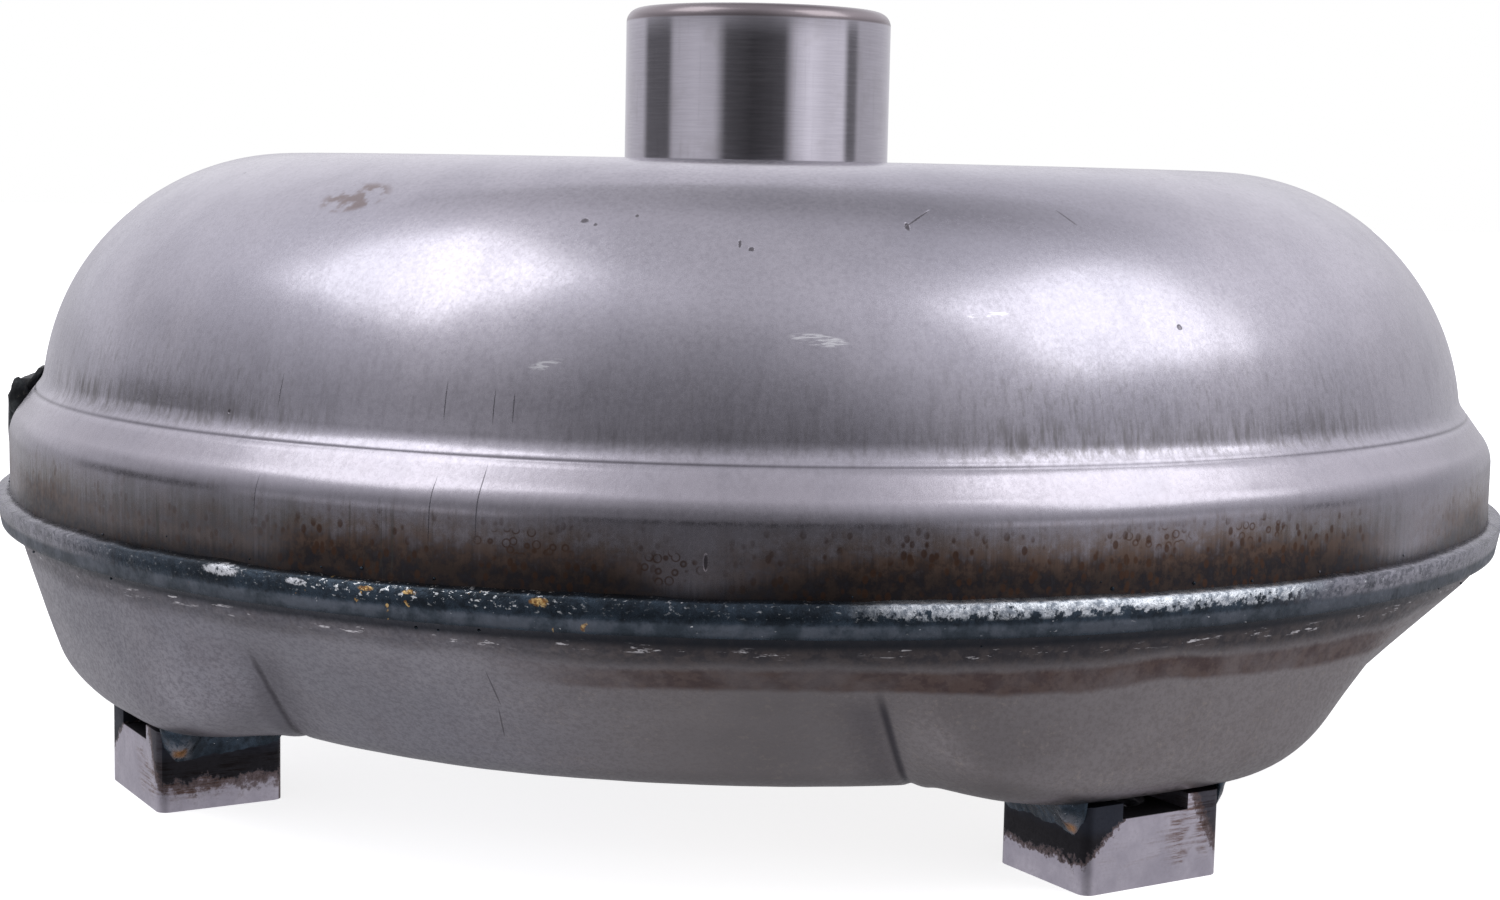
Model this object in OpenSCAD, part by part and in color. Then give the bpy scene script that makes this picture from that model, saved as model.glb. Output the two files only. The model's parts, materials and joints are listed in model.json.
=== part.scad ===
// Lock-up torque converter for an automatic transmission, complete with its internals.
// Millimetres. The origin is on the axis, in the plane of the four mounting-lug faces.
// +Z runs along the axis, from the engine side (lugs and pilot) to the gearbox side (pump hub).
// The lugs stand on the X and Y axes.

/* [Housing] */
// Outside diameter of the rear shell's cylindrical skirt
skirt_d = 260.4; // [259:0.1:262]
// Radius of the rear shell's round section, outside
tube_r = 42.8; // [42.5:0.1:43.1]
// Radius from the axis to the centre of the round section
torus_r = 82; // [81.8:0.1:82.2]
// Height of the centre of the round section
torus_z = 61; // [60.7:0.1:61.3]
// Wall of the pressed rear shell
shell_wall = 4; // [3.8:0.1:4.2]
// Wall of the pressed front cover
cover_wall = 4.5; // [4.3:0.1:4.5]
// Height of the closure weld's ridge
weld_z = 43.8; // [43.6:0.1:44]
// How far the closure weld stands out from the skirt
weld_proud = 1.3; // [0.8:0.1:1.8]

/* [Pump hub] */
// Outside diameter of the hub, where the oil pump's bush runs
hub_d = 47.63; // [47:0.01:48]
// Bore of the hub, which clears the stator support tube
hub_bore_d = 38; // [37.6:0.1:38.4]
// Height of the hub's free end
hub_top = 131; // [126:0.5:134]
// Width of the two internal pump-drive keyways
keyway_w = 8; // [6:0.5:9]
// Depth of the keyways below the bore
keyway_depth = 2.2; // [1.8:0.1:2.6]

/* [Mounting lugs] */
// Diameter of the lug bolt circle
lug_pcd = 209.6; // [208:0.1:211]
// Width of a lug, around the circle
lug_w = 24.8; // [23:0.1:26]
// Length of a lug along the radius
lug_len = 20.4; // [19:0.1:21]
// Height of a lug, from its face to the cover
lug_h = 13; // [12.8:0.1:13.2]
// Diameter of the tapped hole's wall (M10 before its thread)
lug_hole_d = 8.5; // [7:0.1:9]
// Width of the channel across the top of a lug
channel_w = 12.2; // [10:0.1:13]
// Depth of that channel
channel_depth = 2.3; // [2:0.1:3.5]

/* [Crankshaft pilot] */
// Diameter of the pilot
pilot_d = 43.2; // [42:0.1:44]
// Height of the pilot's free end above the lug faces
pilot_end = 2; // [1:0.5:4]

/* [Fluid circuit] */
// Number of impeller blades
impeller_blades_n = 29; // [27:1:31]
// Number of turbine blades
turbine_blades_n = 27; // [25:1:29]
// Number of stator blades
stator_blades_n = 17; // [15:1:19]
// Thickness of a sheet-metal blade
blade_t = 1; // [0.8:0.1:1.2]
// Radius of the torus core, outside the core rings
core_r = 15; // [14.5:0.1:15.3]

/* [One-way clutch] */
// Number of rollers in the one-way clutch
clutch_rollers_n = 14; // [12:1:14]
// Diameter of a clutch roller
clutch_roller_d = 7; // [6.8:0.1:7]
// Outside radius of the inner race
inner_race_r = 25; // [24.8:0.1:25]

/* [Lock-up clutch and damper] */
// Axial travel of the piston
piston_travel = 1.2; // [1:0.1:1.2]
// Number of damper springs
damper_springs_n = 6; // [6:1:6]
// Free twist of the damper each way, in degrees
damper_twist = 8; // [6:1:8]

/* [Hidden] */
$fn = 96;
eps = 0.01;                    // overshoot that keeps a cut from ending on a face
gap = 0.05;                    // between pieces that are welded, brazed or pressed together
arc_steps = 10;                // straight runs in one arc of an outline

// Housing outline
skirt_r = skirt_d / 2;
shoulder_r = 6;                // outer round of the shoulder
shoulder_z = 56;
neck_round = 5;                // hollow round at the neck
neck_z = 66.7;
neck_turn = asin((neck_z - torus_z) / tube_r);
web_z = 90;                    // outer face of the flat web round the hub
web_round = 8;
hub_flange_r = 36;
hub_flange_z = [83, 89];
dish_z = lug_h;                // outer face of the cover's flat dish
centre_z = 17;                 // outer face of the cover's raised centre
cover_lap_top = 53;            // top of the cover's rim, inside the skirt
lap_r = skirt_r - shell_wall - gap;
lap_t = 3.5;                   // wall of the cover's rim, inside the skirt
pad_round = 11;                // corner round where the cover is full, at the lugs
pad_corner_r = 113;
flat_round = 14;               // corner round where the cover is pressed in, between the lugs
flat_corner_r = 98;
flat_lean = 43.1;              // lean of the pressed-in cone, in degrees from the axis' normal
pad_lean = 18;
pilot_r = pilot_d / 2;
spigot_r = 15;
pilot_relief = 0.6;            // how far the pilot steps in above its journal, for the weld
pilot_journal = 10;            // length of that journal
spline_turbine = [10.9, 12];   // minor and major radius
spline_turbine_teeth = 24;
spline_stator = [15.6, 17];
spline_stator_teeth = 30;
centre_r = 48;                 // edge of the cover's raised centre
centre_foot_r = 58;
past = 200;                    // longer than any part, for cutting right through
keyway_len = 12;
lug_chamfer = 0.4;
lug_weld_leg = 4.4;
rivets_n = 10;
rivet_r = 2.5;
stop_pin_r = 2;

// Axial stack of the inner parts, from the cover to the hub
cover_face_z = centre_z + cover_wall;
bearing_race_t = 1;
needle_d = 2;
bearing_h = 2 * bearing_race_t + needle_d;
bearing_r = [26, 35];          // middle and rear bearings, inside and outside radius
front_bearing_r = [18, 29];
needles_n = 28;
front_needles_n = 22;
needle_inset = 1.8;            // from a cage's edge to the needles' ends
cage_edge = 0.5;               // how far a cage stands in from its races' edges
turbine_hub_z = cover_face_z + bearing_h;
driven_plate_z = [34.5, 37.5];
turbine_flange_z = 42.5;
turbine_sheet = 2;
turbine_boss_top = 47;
stator_z = [54, 76];
cap_t = 3;
rear_bearing_z = stator_z[1] + cap_t;
mid_bearing_z = turbine_boss_top;
barrel_r = 31;
boss_r = 36;
rivet_circle_r = 40.5;
hub_plate_r = 46;
seal_groove_z = [29.8, 32.4];
seal_groove_t = 2.5;

// Lock-up clutch and damper
lining_r = [76, 92];
lining_t = 1.2;
piston_outer_r = 95;
piston_t = 3.5;
piston_z = dish_z + cover_wall + piston_travel + gap + lining_t + gap;
piston_hub_z = 25.5;
spring_circle_r = 58;
spring_z = 36;
spring_d = 11;
spring_wire = 2;
spring_len = 27;
spring_turns = 7;
plate_t = 1.5;
plate_gap = 0.5;               // between the driven plate and the plates each side of it
pin_angle = 30;                // the stop pins stand midway between the springs
finger_w = 10;
finger_r = [67, 71];
finger_gap = 0.3;

// Fluid circuit
parting_z = 65;
circuit_r = 87.2;              // centre of the core rings and of the turbine's round section
blade_gap = 0.8;               // from the parting plane to each blade row
turbine_arc_r = 31.4;
turbine_arc_z = 64.4;
stator_ring_r = 73;
stator_hub_r = 56;
stator_ring_t = 2.5;
race_r = 42;                   // outside of the one-way clutch's outer race
core_t = 1.4;                  // wall of a core ring
blade_root_r = 56;             // where the blade sheets start, inside the space they are cut to
blade_tip_r = 122;
impeller_lean = 9;             // how far a blade leans from root to tip, in degrees
turbine_lean = -24;

// Balance weight
weight_angle = 150.6;
weight_span = 14;

steel = [0.62, 0.62, 0.65];
dark_steel = [0.20, 0.22, 0.25];
bright_steel = [0.78, 0.78, 0.80];
cast_aluminium = [0.70, 0.71, 0.72];
sheet_steel = [0.55, 0.56, 0.58];
spring_steel = [0.35, 0.37, 0.42];
lining_brown = [0.36, 0.26, 0.18];
seal_black = [0.08, 0.08, 0.08];

// ---- outline helpers -------------------------------------------------------

// Points of an arc in the meridian plane, from angle a to angle b
function arc(c, r, a, b, n = arc_steps) =
    [for (i = [0:n]) let (turn = a + (b - a) * i / n) c + r * [cos(turn), sin(turn)]];
function reversed(list) = [for (i = [len(list) - 1:-1:0]) list[i]];

module ring(r_in, r_out, z_low, z_high) {
    rotate_extrude() translate([r_in, z_low]) square([r_out - r_in, z_high - z_low]);
}

module around(n, offset_angle = 0) {
    for (i = [0:n - 1]) rotate(offset_angle + 360 * i / n) children();
}

// ---- housing ---------------------------------------------------------------

// Outline of the rear shell, moved inward by t: from the web out over the torus to the skirt's end
function web_centre_r() = torus_r - sqrt(pow(tube_r + web_round, 2) - pow(web_z + web_round - torus_z, 2));
function web_meet() = atan2(web_z + web_round - torus_z, web_centre_r() - torus_r);
function shell_line(t) = concat(
    arc([web_centre_r(), web_z + web_round], web_round + t, -90, web_meet() - 180, 6),
    arc([torus_r, torus_z], tube_r - t, web_meet() - 2, neck_turn, 24),
    arc([torus_r, torus_z] + (tube_r + neck_round) * [cos(neck_turn), sin(neck_turn)],
        neck_round + t, 182 + neck_turn, 225, 6),
    arc([skirt_r - shoulder_r, shoulder_z], shoulder_r - t, 45, 0, 6)
);

module rear_shell() {
    color(steel) rotate_extrude() polygon(concat(
        [[hub_flange_r + gap, web_z - shell_wall], [hub_flange_r + gap, web_z]],
        shell_line(0),
        [[skirt_r, weld_z + 2.7], [skirt_r - shell_wall, weld_z + 0.2]],
        reversed(shell_line(shell_wall))
    ));
}

// Outline of the front cover: full round at the lugs, or pressed in to a cone between them
function cover_edge(t) = [skirt_r - 0.2 - t, weld_z - 2.4];
function pad_line(t) = concat(
    arc([pad_corner_r, dish_z + pad_round], pad_round - t, -90, -pad_lean),
    [cover_edge(t)]
);
function flat_line(t) = concat(
    arc([flat_corner_r, dish_z + flat_round], flat_round - t, -90, -flat_lean),
    [[skirt_r - 1.9 - t, weld_z - 5.2], cover_edge(t)]
);
function centre_line(t) = [[0, centre_z + t], [centre_r, centre_z + t], [centre_foot_r, dish_z + t]];

// Plan of the full-round part of the cover round one lug
module pad_plan() {
    polygon([[60, -18], [99, -32], [115, -52], [150, -92], [150, 92], [115, 52], [99, 32], [60, 18]]);
}

module cover_form(t) {
    top = [[skirt_r - 0.2 - t, cover_lap_top], [0, cover_lap_top]];
    rotate_extrude() polygon(concat(centre_line(t), flat_line(t), top));
    intersection() {
        rotate_extrude() polygon(concat(centre_line(t), pad_line(t), top));
        around(4) linear_extrude(cover_lap_top + 1) pad_plan();
    }
}

module front_cover() {
    color(steel) difference() {
        cover_form(0);
        intersection() {
            cover_form(cover_wall);
            cylinder(r = lap_r - lap_t, h = past);
        }
        // the rim steps in to fit the skirt
        rotate_extrude() polygon([
            [lap_r, weld_z + 0.1], [skirt_r, weld_z - 2.8], [past, weld_z - 2.8], [past, past], [lap_r, past]
        ]);
        translate([0, 0, cover_lap_top - 0.5]) cylinder(r = skirt_r, h = past);
        cylinder(r = spigot_r + gap, h = past);
    }
}

module closure_weld() {
    ridge_r = skirt_r + weld_proud;
    color(dark_steel) rotate_extrude() polygon(concat(
        [[lap_r + 0.3, weld_z + 0.15], [skirt_r - 0.35, weld_z - 2.3]],
        [[ridge_r - 0.3, weld_z - 1.4], [ridge_r, weld_z - 0.3], [ridge_r - 0.1, weld_z + 0.8]],
        [[skirt_r + 0.35, weld_z + 2.5], [skirt_r + 0.1, weld_z + 2.6]]
    ));
}

module pump_hub() {
    round_r = 2.5;
    fillet = 3;
    chamfer = 0.8;
    r = hub_d / 2;
    color(bright_steel) difference() {
        rotate_extrude() polygon(concat(
            [[hub_bore_d / 2, hub_flange_z[0]], [hub_flange_r, hub_flange_z[0]]],
            [[hub_flange_r, hub_flange_z[1]]],
            reversed(arc([r + fillet, hub_flange_z[1] + fillet], fillet, 180, 270, 5)),
            arc([r - round_r, hub_top - round_r], round_r, 0, 90, 6),
            [[hub_bore_d / 2 + chamfer, hub_top], [hub_bore_d / 2, hub_top - chamfer]]
        ));
        around(2) translate([0, -keyway_w / 2, hub_top - keyway_len])
            cube([hub_bore_d / 2 + keyway_depth, keyway_w, past]);
    }
}

module hub_weld() {
    color(dark_steel) rotate_extrude() polygon([
        [hub_flange_r - 3, hub_flange_z[1] + gap], [hub_flange_r + gap, hub_flange_z[1] + gap],
        [hub_flange_r + gap, web_z + gap], [hub_flange_r + 3, web_z + gap],
        [hub_flange_r + 1.6, web_z + 1.3], [hub_flange_r - 1.4, web_z + 1]
    ]);
}

module crank_pilot() {
    lead = 1.2;
    journal_top = pilot_end + lead + pilot_journal;
    neck = pilot_r - pilot_relief;
    color(bright_steel) rotate_extrude() polygon([
        [0, pilot_end + 2], [6, pilot_end + 2], [8, pilot_end], [pilot_r - lead, pilot_end],
        [pilot_r, pilot_end + lead], [pilot_r, journal_top], [neck, journal_top + pilot_relief],
        [neck, centre_z - gap], [spigot_r, centre_z - gap], [spigot_r, cover_face_z], [0, cover_face_z]
    ]);
}

module pilot_weld() {
    leg = 2.6;
    r = pilot_r - pilot_relief + gap;
    z = centre_z - gap;
    color(dark_steel) rotate_extrude() polygon([
        [r, z], [r + leg, z], [r + leg * 0.6, z - leg * 0.6], [r, z - leg]
    ]);
}

// ---- mounting lugs ---------------------------------------------------------

module lug_block() {
    corner = 2;
    for (s = [[lug_len, lug_w - 2 * corner], [lug_len - 2 * corner, lug_w]])
        translate([-s[0] / 2, -s[1] / 2, 0]) cube([s[0], s[1], lug_h - gap]);
    for (x = [-1, 1], y = [-1, 1])
        translate([x * (lug_len / 2 - corner), y * (lug_w / 2 - corner), 0])
            cylinder(r = corner, h = lug_h - gap);
}

module mounting_lug(i) {
    color(steel) rotate(90 * (i - 1)) translate([lug_pcd / 2, 0, 0]) difference() {
        lug_block();
        translate([-lug_len, -channel_w / 2, lug_h - channel_depth]) cube([2 * lug_len, channel_w, lug_h]);
        translate([0, 0, -eps]) cylinder(d = lug_hole_d, h = past);
        translate([0, 0, -eps]) cylinder(d1 = lug_hole_d + 2 * lug_chamfer, d2 = lug_hole_d, h = lug_chamfer);
    }
}

module lug_welds(i) {
    leg = lug_weld_leg;
    run = lug_len - 3;
    color(dark_steel) rotate(90 * (i - 1)) translate([lug_pcd / 2 - 1, 0, 0])
        for (side = [0, 1]) mirror([0, side, 0])
            translate([-run / 2, lug_w / 2 + gap, lug_h - gap]) rotate([90, 0, 90]) linear_extrude(run)
                polygon([
                    [0, 0], [leg, 0], [leg * 0.62, -leg * 0.42], [leg * 0.2, -leg * 0.85], [0, -leg * 1.1]
                ]);
}

// ---- balance weight --------------------------------------------------------

module sector(from, span) {
    rotate(from) rotate_extrude(angle = span) children();
}

module balance_weight() {
    color(dark_steel) sector(weight_angle - weight_span / 2, weight_span) polygon([
        [130.45, 49.6], [131.2, 49.2], [131.9, 51.5], [131.9, 60.8], [131, 62.8], [129.6, 63.5],
        [127.6, 64], [126.3, 65.6], [125.1, 65.3], [126.05, 64], [128.65, 60.45], [129.97, 58.4],
        [130.45, 56]
    ]);
}

module balance_weight_welds() {
    color(dark_steel) for (end = [-1, 1])
        sector(weight_angle + end * (weight_span / 2 + 0.8) - 0.75, 1.5) polygon([
            [130.45, 52], [131.1, 53], [131.1, 57], [130.3, 60.6], [127.3, 63.6], [126.3, 63.7],
            [128.65, 60.45], [129.97, 58.4], [130.45, 56]
        ]);
}

// ---- impeller --------------------------------------------------------------

// A curved sheet blade in plan, from radius a to radius b, leaning back by lean degrees
module blade_plan(a, b, lean) {
    steps = 6;
    function at(i, side) = let (r = a + (b - a) * i / steps, w = lean * pow(i / steps, 1.5))
        [r * cos(w) - side * blade_t / 2 * sin(w), r * sin(w) + side * blade_t / 2 * cos(w)];
    polygon(concat([for (i = [0:steps]) at(i, -1)], [for (i = [steps:-1:0]) at(i, 1)]));
}

module impeller_space() {
    rotate_extrude() difference() {
        translate([torus_r, torus_z]) circle(tube_r - shell_wall - gap);
        translate([circuit_r, parting_z]) circle(core_r + gap);
        square([past, parting_z + blade_gap]);
        // clear of the stator and of the web's inner bend
        square([stator_ring_r + stator_ring_t + 1, stator_z[1] + 1.5]);
        square([blade_root_r + 2, past]);
    }
}

module impeller_blades() {
    color(sheet_steel) intersection() {
        impeller_space();
        around(impeller_blades_n) linear_extrude(past) blade_plan(blade_root_r, blade_tip_r, impeller_lean);
    }
}

// Half of the torus core, from just off the parting plane to beside the stator's ring
function core_line(r, from, to) = arc([circuit_r, parting_z], r, from, to, 12);

module impeller_core_ring() {
    color(sheet_steel) rotate_extrude() polygon(concat(
        core_line(core_r, 5, 132), core_line(core_r - core_t, 132, 5)
    ));
}

// ---- thrust bearings -------------------------------------------------------

module bearing_race(r_in, r_out, z) {
    color(bright_steel) ring(r_in, r_out, z, z + bearing_race_t);
}

module bearing_rollers(r_in, r_out, z, n) {
    color(bright_steel) around(n) translate([r_in + needle_inset, 0, z + bearing_h / 2]) rotate([0, 90, 0])
        cylinder(d = needle_d - 2 * gap, h = r_out - r_in - 2 * needle_inset, $fn = 24);
}

module bearing_cage(r_in, r_out, z, n) {
    half = 0.6;
    window = [r_out - r_in - 2 * needle_inset + 4 * gap, needle_d + 2 * gap, past];
    color(spring_steel) difference() {
        ring(r_in + cage_edge, r_out - cage_edge, z + bearing_h / 2 - half, z + bearing_h / 2 + half);
        around(n) translate([r_in + needle_inset - 2 * gap, -window[1] / 2, 0]) cube(window);
    }
}

// ---- turbine ---------------------------------------------------------------

function turbine_line(r) = let (rise = turbine_arc_z - turbine_flange_z - turbine_sheet)
    concat(arc([circuit_r, turbine_arc_z], r, 0, -(180 - asin((turbine_arc_z - turbine_flange_z
        - (r > turbine_arc_r - 1 ? 0 : turbine_sheet)) / r)), 24));

module rivet_holes() {
    around(rivets_n) translate([rivet_circle_r, 0, 0]) cylinder(r = rivet_r + gap, h = past, $fn = 24);
}

module turbine_shell() {
    inner = turbine_arc_r - turbine_sheet;
    color(sheet_steel) difference() {
        rotate_extrude() polygon(concat(
            turbine_line(turbine_arc_r), [[boss_r + gap, turbine_flange_z]],
            [[boss_r + gap, turbine_flange_z + turbine_sheet]], reversed(turbine_line(inner))
        ));
        rivet_holes();
    }
}

module turbine_space() {
    rotate_extrude() difference() {
        translate([circuit_r, turbine_arc_z]) circle(turbine_arc_r - turbine_sheet - gap);
        translate([circuit_r, parting_z]) circle(core_r + gap);
        translate([0, parting_z - blade_gap]) square([past, past]);
        // clear of the stator and of the shell's inner bend
        translate([0, stator_z[0] - 1.5]) square([stator_ring_r + stator_ring_t + 1, past]);
        square([blade_root_r + 7, past]);
    }
}

module turbine_blades() {
    color(sheet_steel) intersection() {
        turbine_space();
        around(turbine_blades_n) linear_extrude(past) blade_plan(blade_root_r, blade_tip_r - 2, turbine_lean);
    }
}

module turbine_core_ring() {
    color(sheet_steel) rotate_extrude() polygon(concat(
        core_line(core_r, -5, -132), core_line(core_r - core_t, -132, -5)
    ));
}

// A splined bore right through: a plain hole at the minor radius, with n slots out to the major radius
module spline_bore(radii, n) {
    slot = PI * radii[0] / n;
    cylinder(r = radii[0], h = past);
    around(n) translate([0, -slot / 2, 0]) cube([radii[1], slot, past]);
}

module turbine_hub() {
    core = spline_turbine[0] - 1;
    color(steel) difference() {
        rotate_extrude() polygon([
            [core, turbine_hub_z], [barrel_r - 1, turbine_hub_z], [barrel_r - gap, turbine_hub_z + 1],
            [barrel_r - gap, seal_groove_z[0]], [barrel_r - seal_groove_t, seal_groove_z[0]],
            [barrel_r - seal_groove_t, seal_groove_z[1]], [barrel_r - gap, seal_groove_z[1]],
            [barrel_r - gap, driven_plate_z[1] + gap], [hub_plate_r, driven_plate_z[1] + gap],
            [hub_plate_r, turbine_flange_z - gap], [boss_r - gap, turbine_flange_z - gap],
            [boss_r - gap, turbine_boss_top], [core, turbine_boss_top]
        ]);
        spline_bore(spline_turbine, spline_turbine_teeth);
        rivet_holes();
    }
}

module turbine_rivets() {
    head = 1.8;
    head_r = [3, 4];
    low = driven_plate_z[0];
    high = turbine_flange_z + turbine_sheet;
    color(bright_steel) around(rivets_n) translate([rivet_circle_r, 0, 0]) {
        translate([0, 0, low - head]) cylinder(r = rivet_r, h = high - low + 2 * head, $fn = 24);
        translate([0, 0, low - head]) cylinder(r1 = head_r[0], r2 = head_r[1], h = head - gap, $fn = 24);
        translate([0, 0, high + gap]) cylinder(r1 = head_r[1], r2 = head_r[0], h = head - gap, $fn = 24);
    }
}

module piston_seal_ring() {
    side = 0.1;
    color(seal_black) ring(barrel_r - seal_groove_t + 0.2, barrel_r - gap, seal_groove_z[0] + side,
        seal_groove_z[1] - side);
}

// ---- lock-up clutch and damper ---------------------------------------------

// Windows for the damper springs, through a plate
module spring_windows(width) {
    end = 0.2;
    around(damper_springs_n) translate([spring_circle_r - width / 2, -spring_len / 2 - end, 0])
        cube([width, spring_len + 2 * end, past]);
}

module damper_driven_plate() {
    slot = stop_pin_r + 0.6;
    slot_turn = damper_twist + 2.2;
    color(sheet_steel) difference() {
        ring(barrel_r, 67.5, driven_plate_z[0], driven_plate_z[1]);
        rivet_holes();
        spring_windows(spring_d + 0.6);
        // slots that let the stop pins travel
        around(damper_springs_n, pin_angle) sector(-slot_turn, 2 * slot_turn)
            translate([spring_circle_r - slot, 0]) square([2 * slot, past]);
    }
}

module damper_plate(z, r_in, r_out) {
    difference() {
        ring(r_in, r_out, z, z + plate_t);
        spring_windows(spring_d - 0.3);
        around(damper_springs_n, pin_angle) translate([spring_circle_r, 0, 0])
            cylinder(r = stop_pin_r + gap, h = past, $fn = 24);
    }
}

module damper_front_plate() {
    side = 0.2;
    color(sheet_steel) difference() {
        damper_plate(driven_plate_z[0] - plate_gap - plate_t, hub_plate_r + 0.5, 72);
        around(damper_springs_n) translate([finger_r[0] - side, -finger_w / 2 - side, 0])
            cube([past, finger_w + 2 * side, past]);
    }
}

module damper_rear_plate() {
    color(sheet_steel) damper_plate(driven_plate_z[1] + plate_gap, hub_plate_r + 0.7, 65.8);
}

module damper_stop_pins() {
    low = driven_plate_z[0] - plate_gap - plate_t;
    high = driven_plate_z[1] + plate_gap + plate_t;
    head = 1;
    head_r = stop_pin_r + 1;
    color(bright_steel) around(damper_springs_n, pin_angle) translate([spring_circle_r, 0, 0]) {
        translate([0, 0, low - head]) cylinder(r = stop_pin_r, h = high - low + 2 * head, $fn = 24);
        translate([0, 0, low - head]) cylinder(r = head_r, h = head - gap, $fn = 24);
        translate([0, 0, high + gap]) cylinder(r = head_r, h = head - gap, $fn = 24);
    }
}

// One helical spring along Y, swept as a closed tube of wire
module coil_spring(len, d, wire, turns) {
    sides = 6;
    per_turn = 12;
    n = turns * per_turn;
    mean = (d - wire) / 2;
    pitch = (len - wire) / turns;
    function centre(i) = [mean * cos(360 * i / per_turn), -len / 2 + wire / 2 + pitch * i / per_turn,
        mean * sin(360 * i / per_turn)];
    function outward(i) = [cos(360 * i / per_turn), 0, sin(360 * i / per_turn)];
    points = [for (i = [0:n], k = [0:sides - 1])
        centre(i) + wire / 2 * (cos(360 * k / sides) * outward(i) + sin(360 * k / sides) * [0, 1, 0])];
    sidewalls = [for (i = [0:n - 1], k = [0:sides - 1]) let (a = i * sides + k, b = i * sides + (k + 1) % sides)
        [a, b, b + sides, a + sides]];
    polyhedron(points, concat(
        [[for (k = [sides - 1:-1:0]) k]],
        [[for (k = [0:sides - 1]) n * sides + k]],
        sidewalls
    ), convexity = 6);
}

module damper_springs() {
    color(spring_steel) around(damper_springs_n)
        translate([spring_circle_r, 0, spring_z]) coil_spring(spring_len, spring_d, spring_wire, spring_turns);
}

module lockup_piston() {
    top = piston_z + piston_t;
    hub_top_z = piston_hub_z + piston_t;
    dish_r = [55, 64];
    collar_r = barrel_r + 4;
    collar_h = 3;
    color(steel) union() {
        rotate_extrude() polygon([
            [barrel_r + gap, piston_hub_z], [dish_r[0], piston_hub_z], [dish_r[1], piston_z],
            [piston_outer_r, piston_z], [piston_outer_r, top], [dish_r[1] + 1.2, top],
            [dish_r[0] + 1.2, hub_top_z], [collar_r, hub_top_z], [collar_r, hub_top_z + collar_h],
            [barrel_r + gap, hub_top_z + collar_h]
        ]);
        around(damper_springs_n) translate([finger_r[0], -finger_w / 2, top - 1])
            cube([finger_r[1] - finger_r[0], finger_w, driven_plate_z[0] - finger_gap - top + 1]);
    }
}

module friction_lining() {
    color(lining_brown) ring(lining_r[0], lining_r[1], piston_z - gap - lining_t, piston_z - gap);
}

// ---- stator and one-way clutch ---------------------------------------------

// Aerofoil section of a stator blade: x along the rim, y along the axis
module stator_section() {
    polygon([[-6.2, -9.6], [-5, -9.9], [-2.5, -7], [0.4, -3], [2.9, 2], [4.6, 6.4], [5.6, 9.6], [4.9, 9.8],
        [2.8, 7], [-0.4, 2.6], [-3.6, -2.4], [-5.8, -7.2]]);
}

module stator_wheel() {
    mid = (stator_z[0] + stator_z[1]) / 2;
    root = 1;
    color(cast_aluminium) union() {
        ring(race_r + gap, stator_hub_r, stator_z[0], stator_z[1]);
        ring(stator_ring_r, stator_ring_r + stator_ring_t, stator_z[0] + 1, stator_z[1] - 1);
        around(stator_blades_n) translate([stator_hub_r - root, 0, mid]) rotate([90, 0, 90])
            linear_extrude(stator_ring_r - stator_hub_r + 2 * root) stator_section();
    }
}

module stator_cap(z) {
    color(cast_aluminium) ring(18.5, 50, z, z + cap_t - gap);
}

module clutch_outer_race() {
    bore = inner_race_r + clutch_roller_d + gap;
    pocket_r = 5;
    pocket_turn = 6;
    color(bright_steel) difference() {
        ring(bore, race_r, stator_z[0] + gap, stator_z[1] - gap);
        // ramped pockets, deep at the spring's end
        around(clutch_rollers_n, pocket_turn) translate([bore - 3.6, 0, 0])
            cylinder(r = pocket_r, h = past, $fn = 48);
    }
}

module clutch_rollers() {
    color(bright_steel) around(clutch_rollers_n)
        translate([inner_race_r + clutch_roller_d / 2 + gap / 2, 0, stator_z[0] + 1])
            cylinder(d = clutch_roller_d, h = stator_z[1] - stator_z[0] - 2, $fn = 48);
}

module clutch_springs() {
    r = inner_race_r + clutch_roller_d / 2;
    spring_turn = 10.4;
    spring_h = 14;
    color(spring_steel) around(clutch_rollers_n, spring_turn)
        translate([r - 1, 0, (stator_z[0] + stator_z[1] - spring_h) / 2]) linear_extrude(spring_h)
        polygon([
            [0, -1.5], [3.4, -0.6], [0, 0.3], [3.4, 1.2], [3.4, 1.6], [-0.5, 0.4], [2.6, -0.6], [-0.5, -1.4]
        ]);
}

module clutch_inner_race() {
    color(bright_steel) difference() {
        ring(spline_stator[0] - 1, inner_race_r, stator_z[0] + 0.2, stator_z[1] - 0.2);
        spline_bore(spline_stator, spline_stator_teeth);
    }
}

// ---- assembly --------------------------------------------------------------

rear_shell();
pump_hub();
hub_weld();
front_cover();
closure_weld();
crank_pilot();
pilot_weld();
for (i = [1:4]) mounting_lug(i);
for (i = [1:4]) lug_welds(i);
balance_weight();
balance_weight_welds();
impeller_blades();
impeller_core_ring();
bearing_race(bearing_r[0], bearing_r[1], rear_bearing_z + bearing_h - bearing_race_t);  // rear_bearing_hub_race
bearing_cage(bearing_r[0], bearing_r[1], rear_bearing_z, needles_n);  // rear_bearing_cage
bearing_rollers(bearing_r[0], bearing_r[1], rear_bearing_z, needles_n);  // rear_bearing_rollers
bearing_race(bearing_r[0], bearing_r[1], rear_bearing_z);  // rear_bearing_stator_race
bearing_race(bearing_r[0], bearing_r[1], mid_bearing_z + bearing_h - bearing_race_t);  // mid_bearing_stator_race
bearing_cage(bearing_r[0], bearing_r[1], mid_bearing_z, needles_n);  // mid_bearing_cage
bearing_rollers(bearing_r[0], bearing_r[1], mid_bearing_z, needles_n);  // mid_bearing_rollers
bearing_race(bearing_r[0], bearing_r[1], mid_bearing_z);  // mid_bearing_turbine_race
bearing_race(front_bearing_r[0], front_bearing_r[1], cover_face_z + bearing_h - bearing_race_t);  // front_bearing_turbine_race
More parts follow.
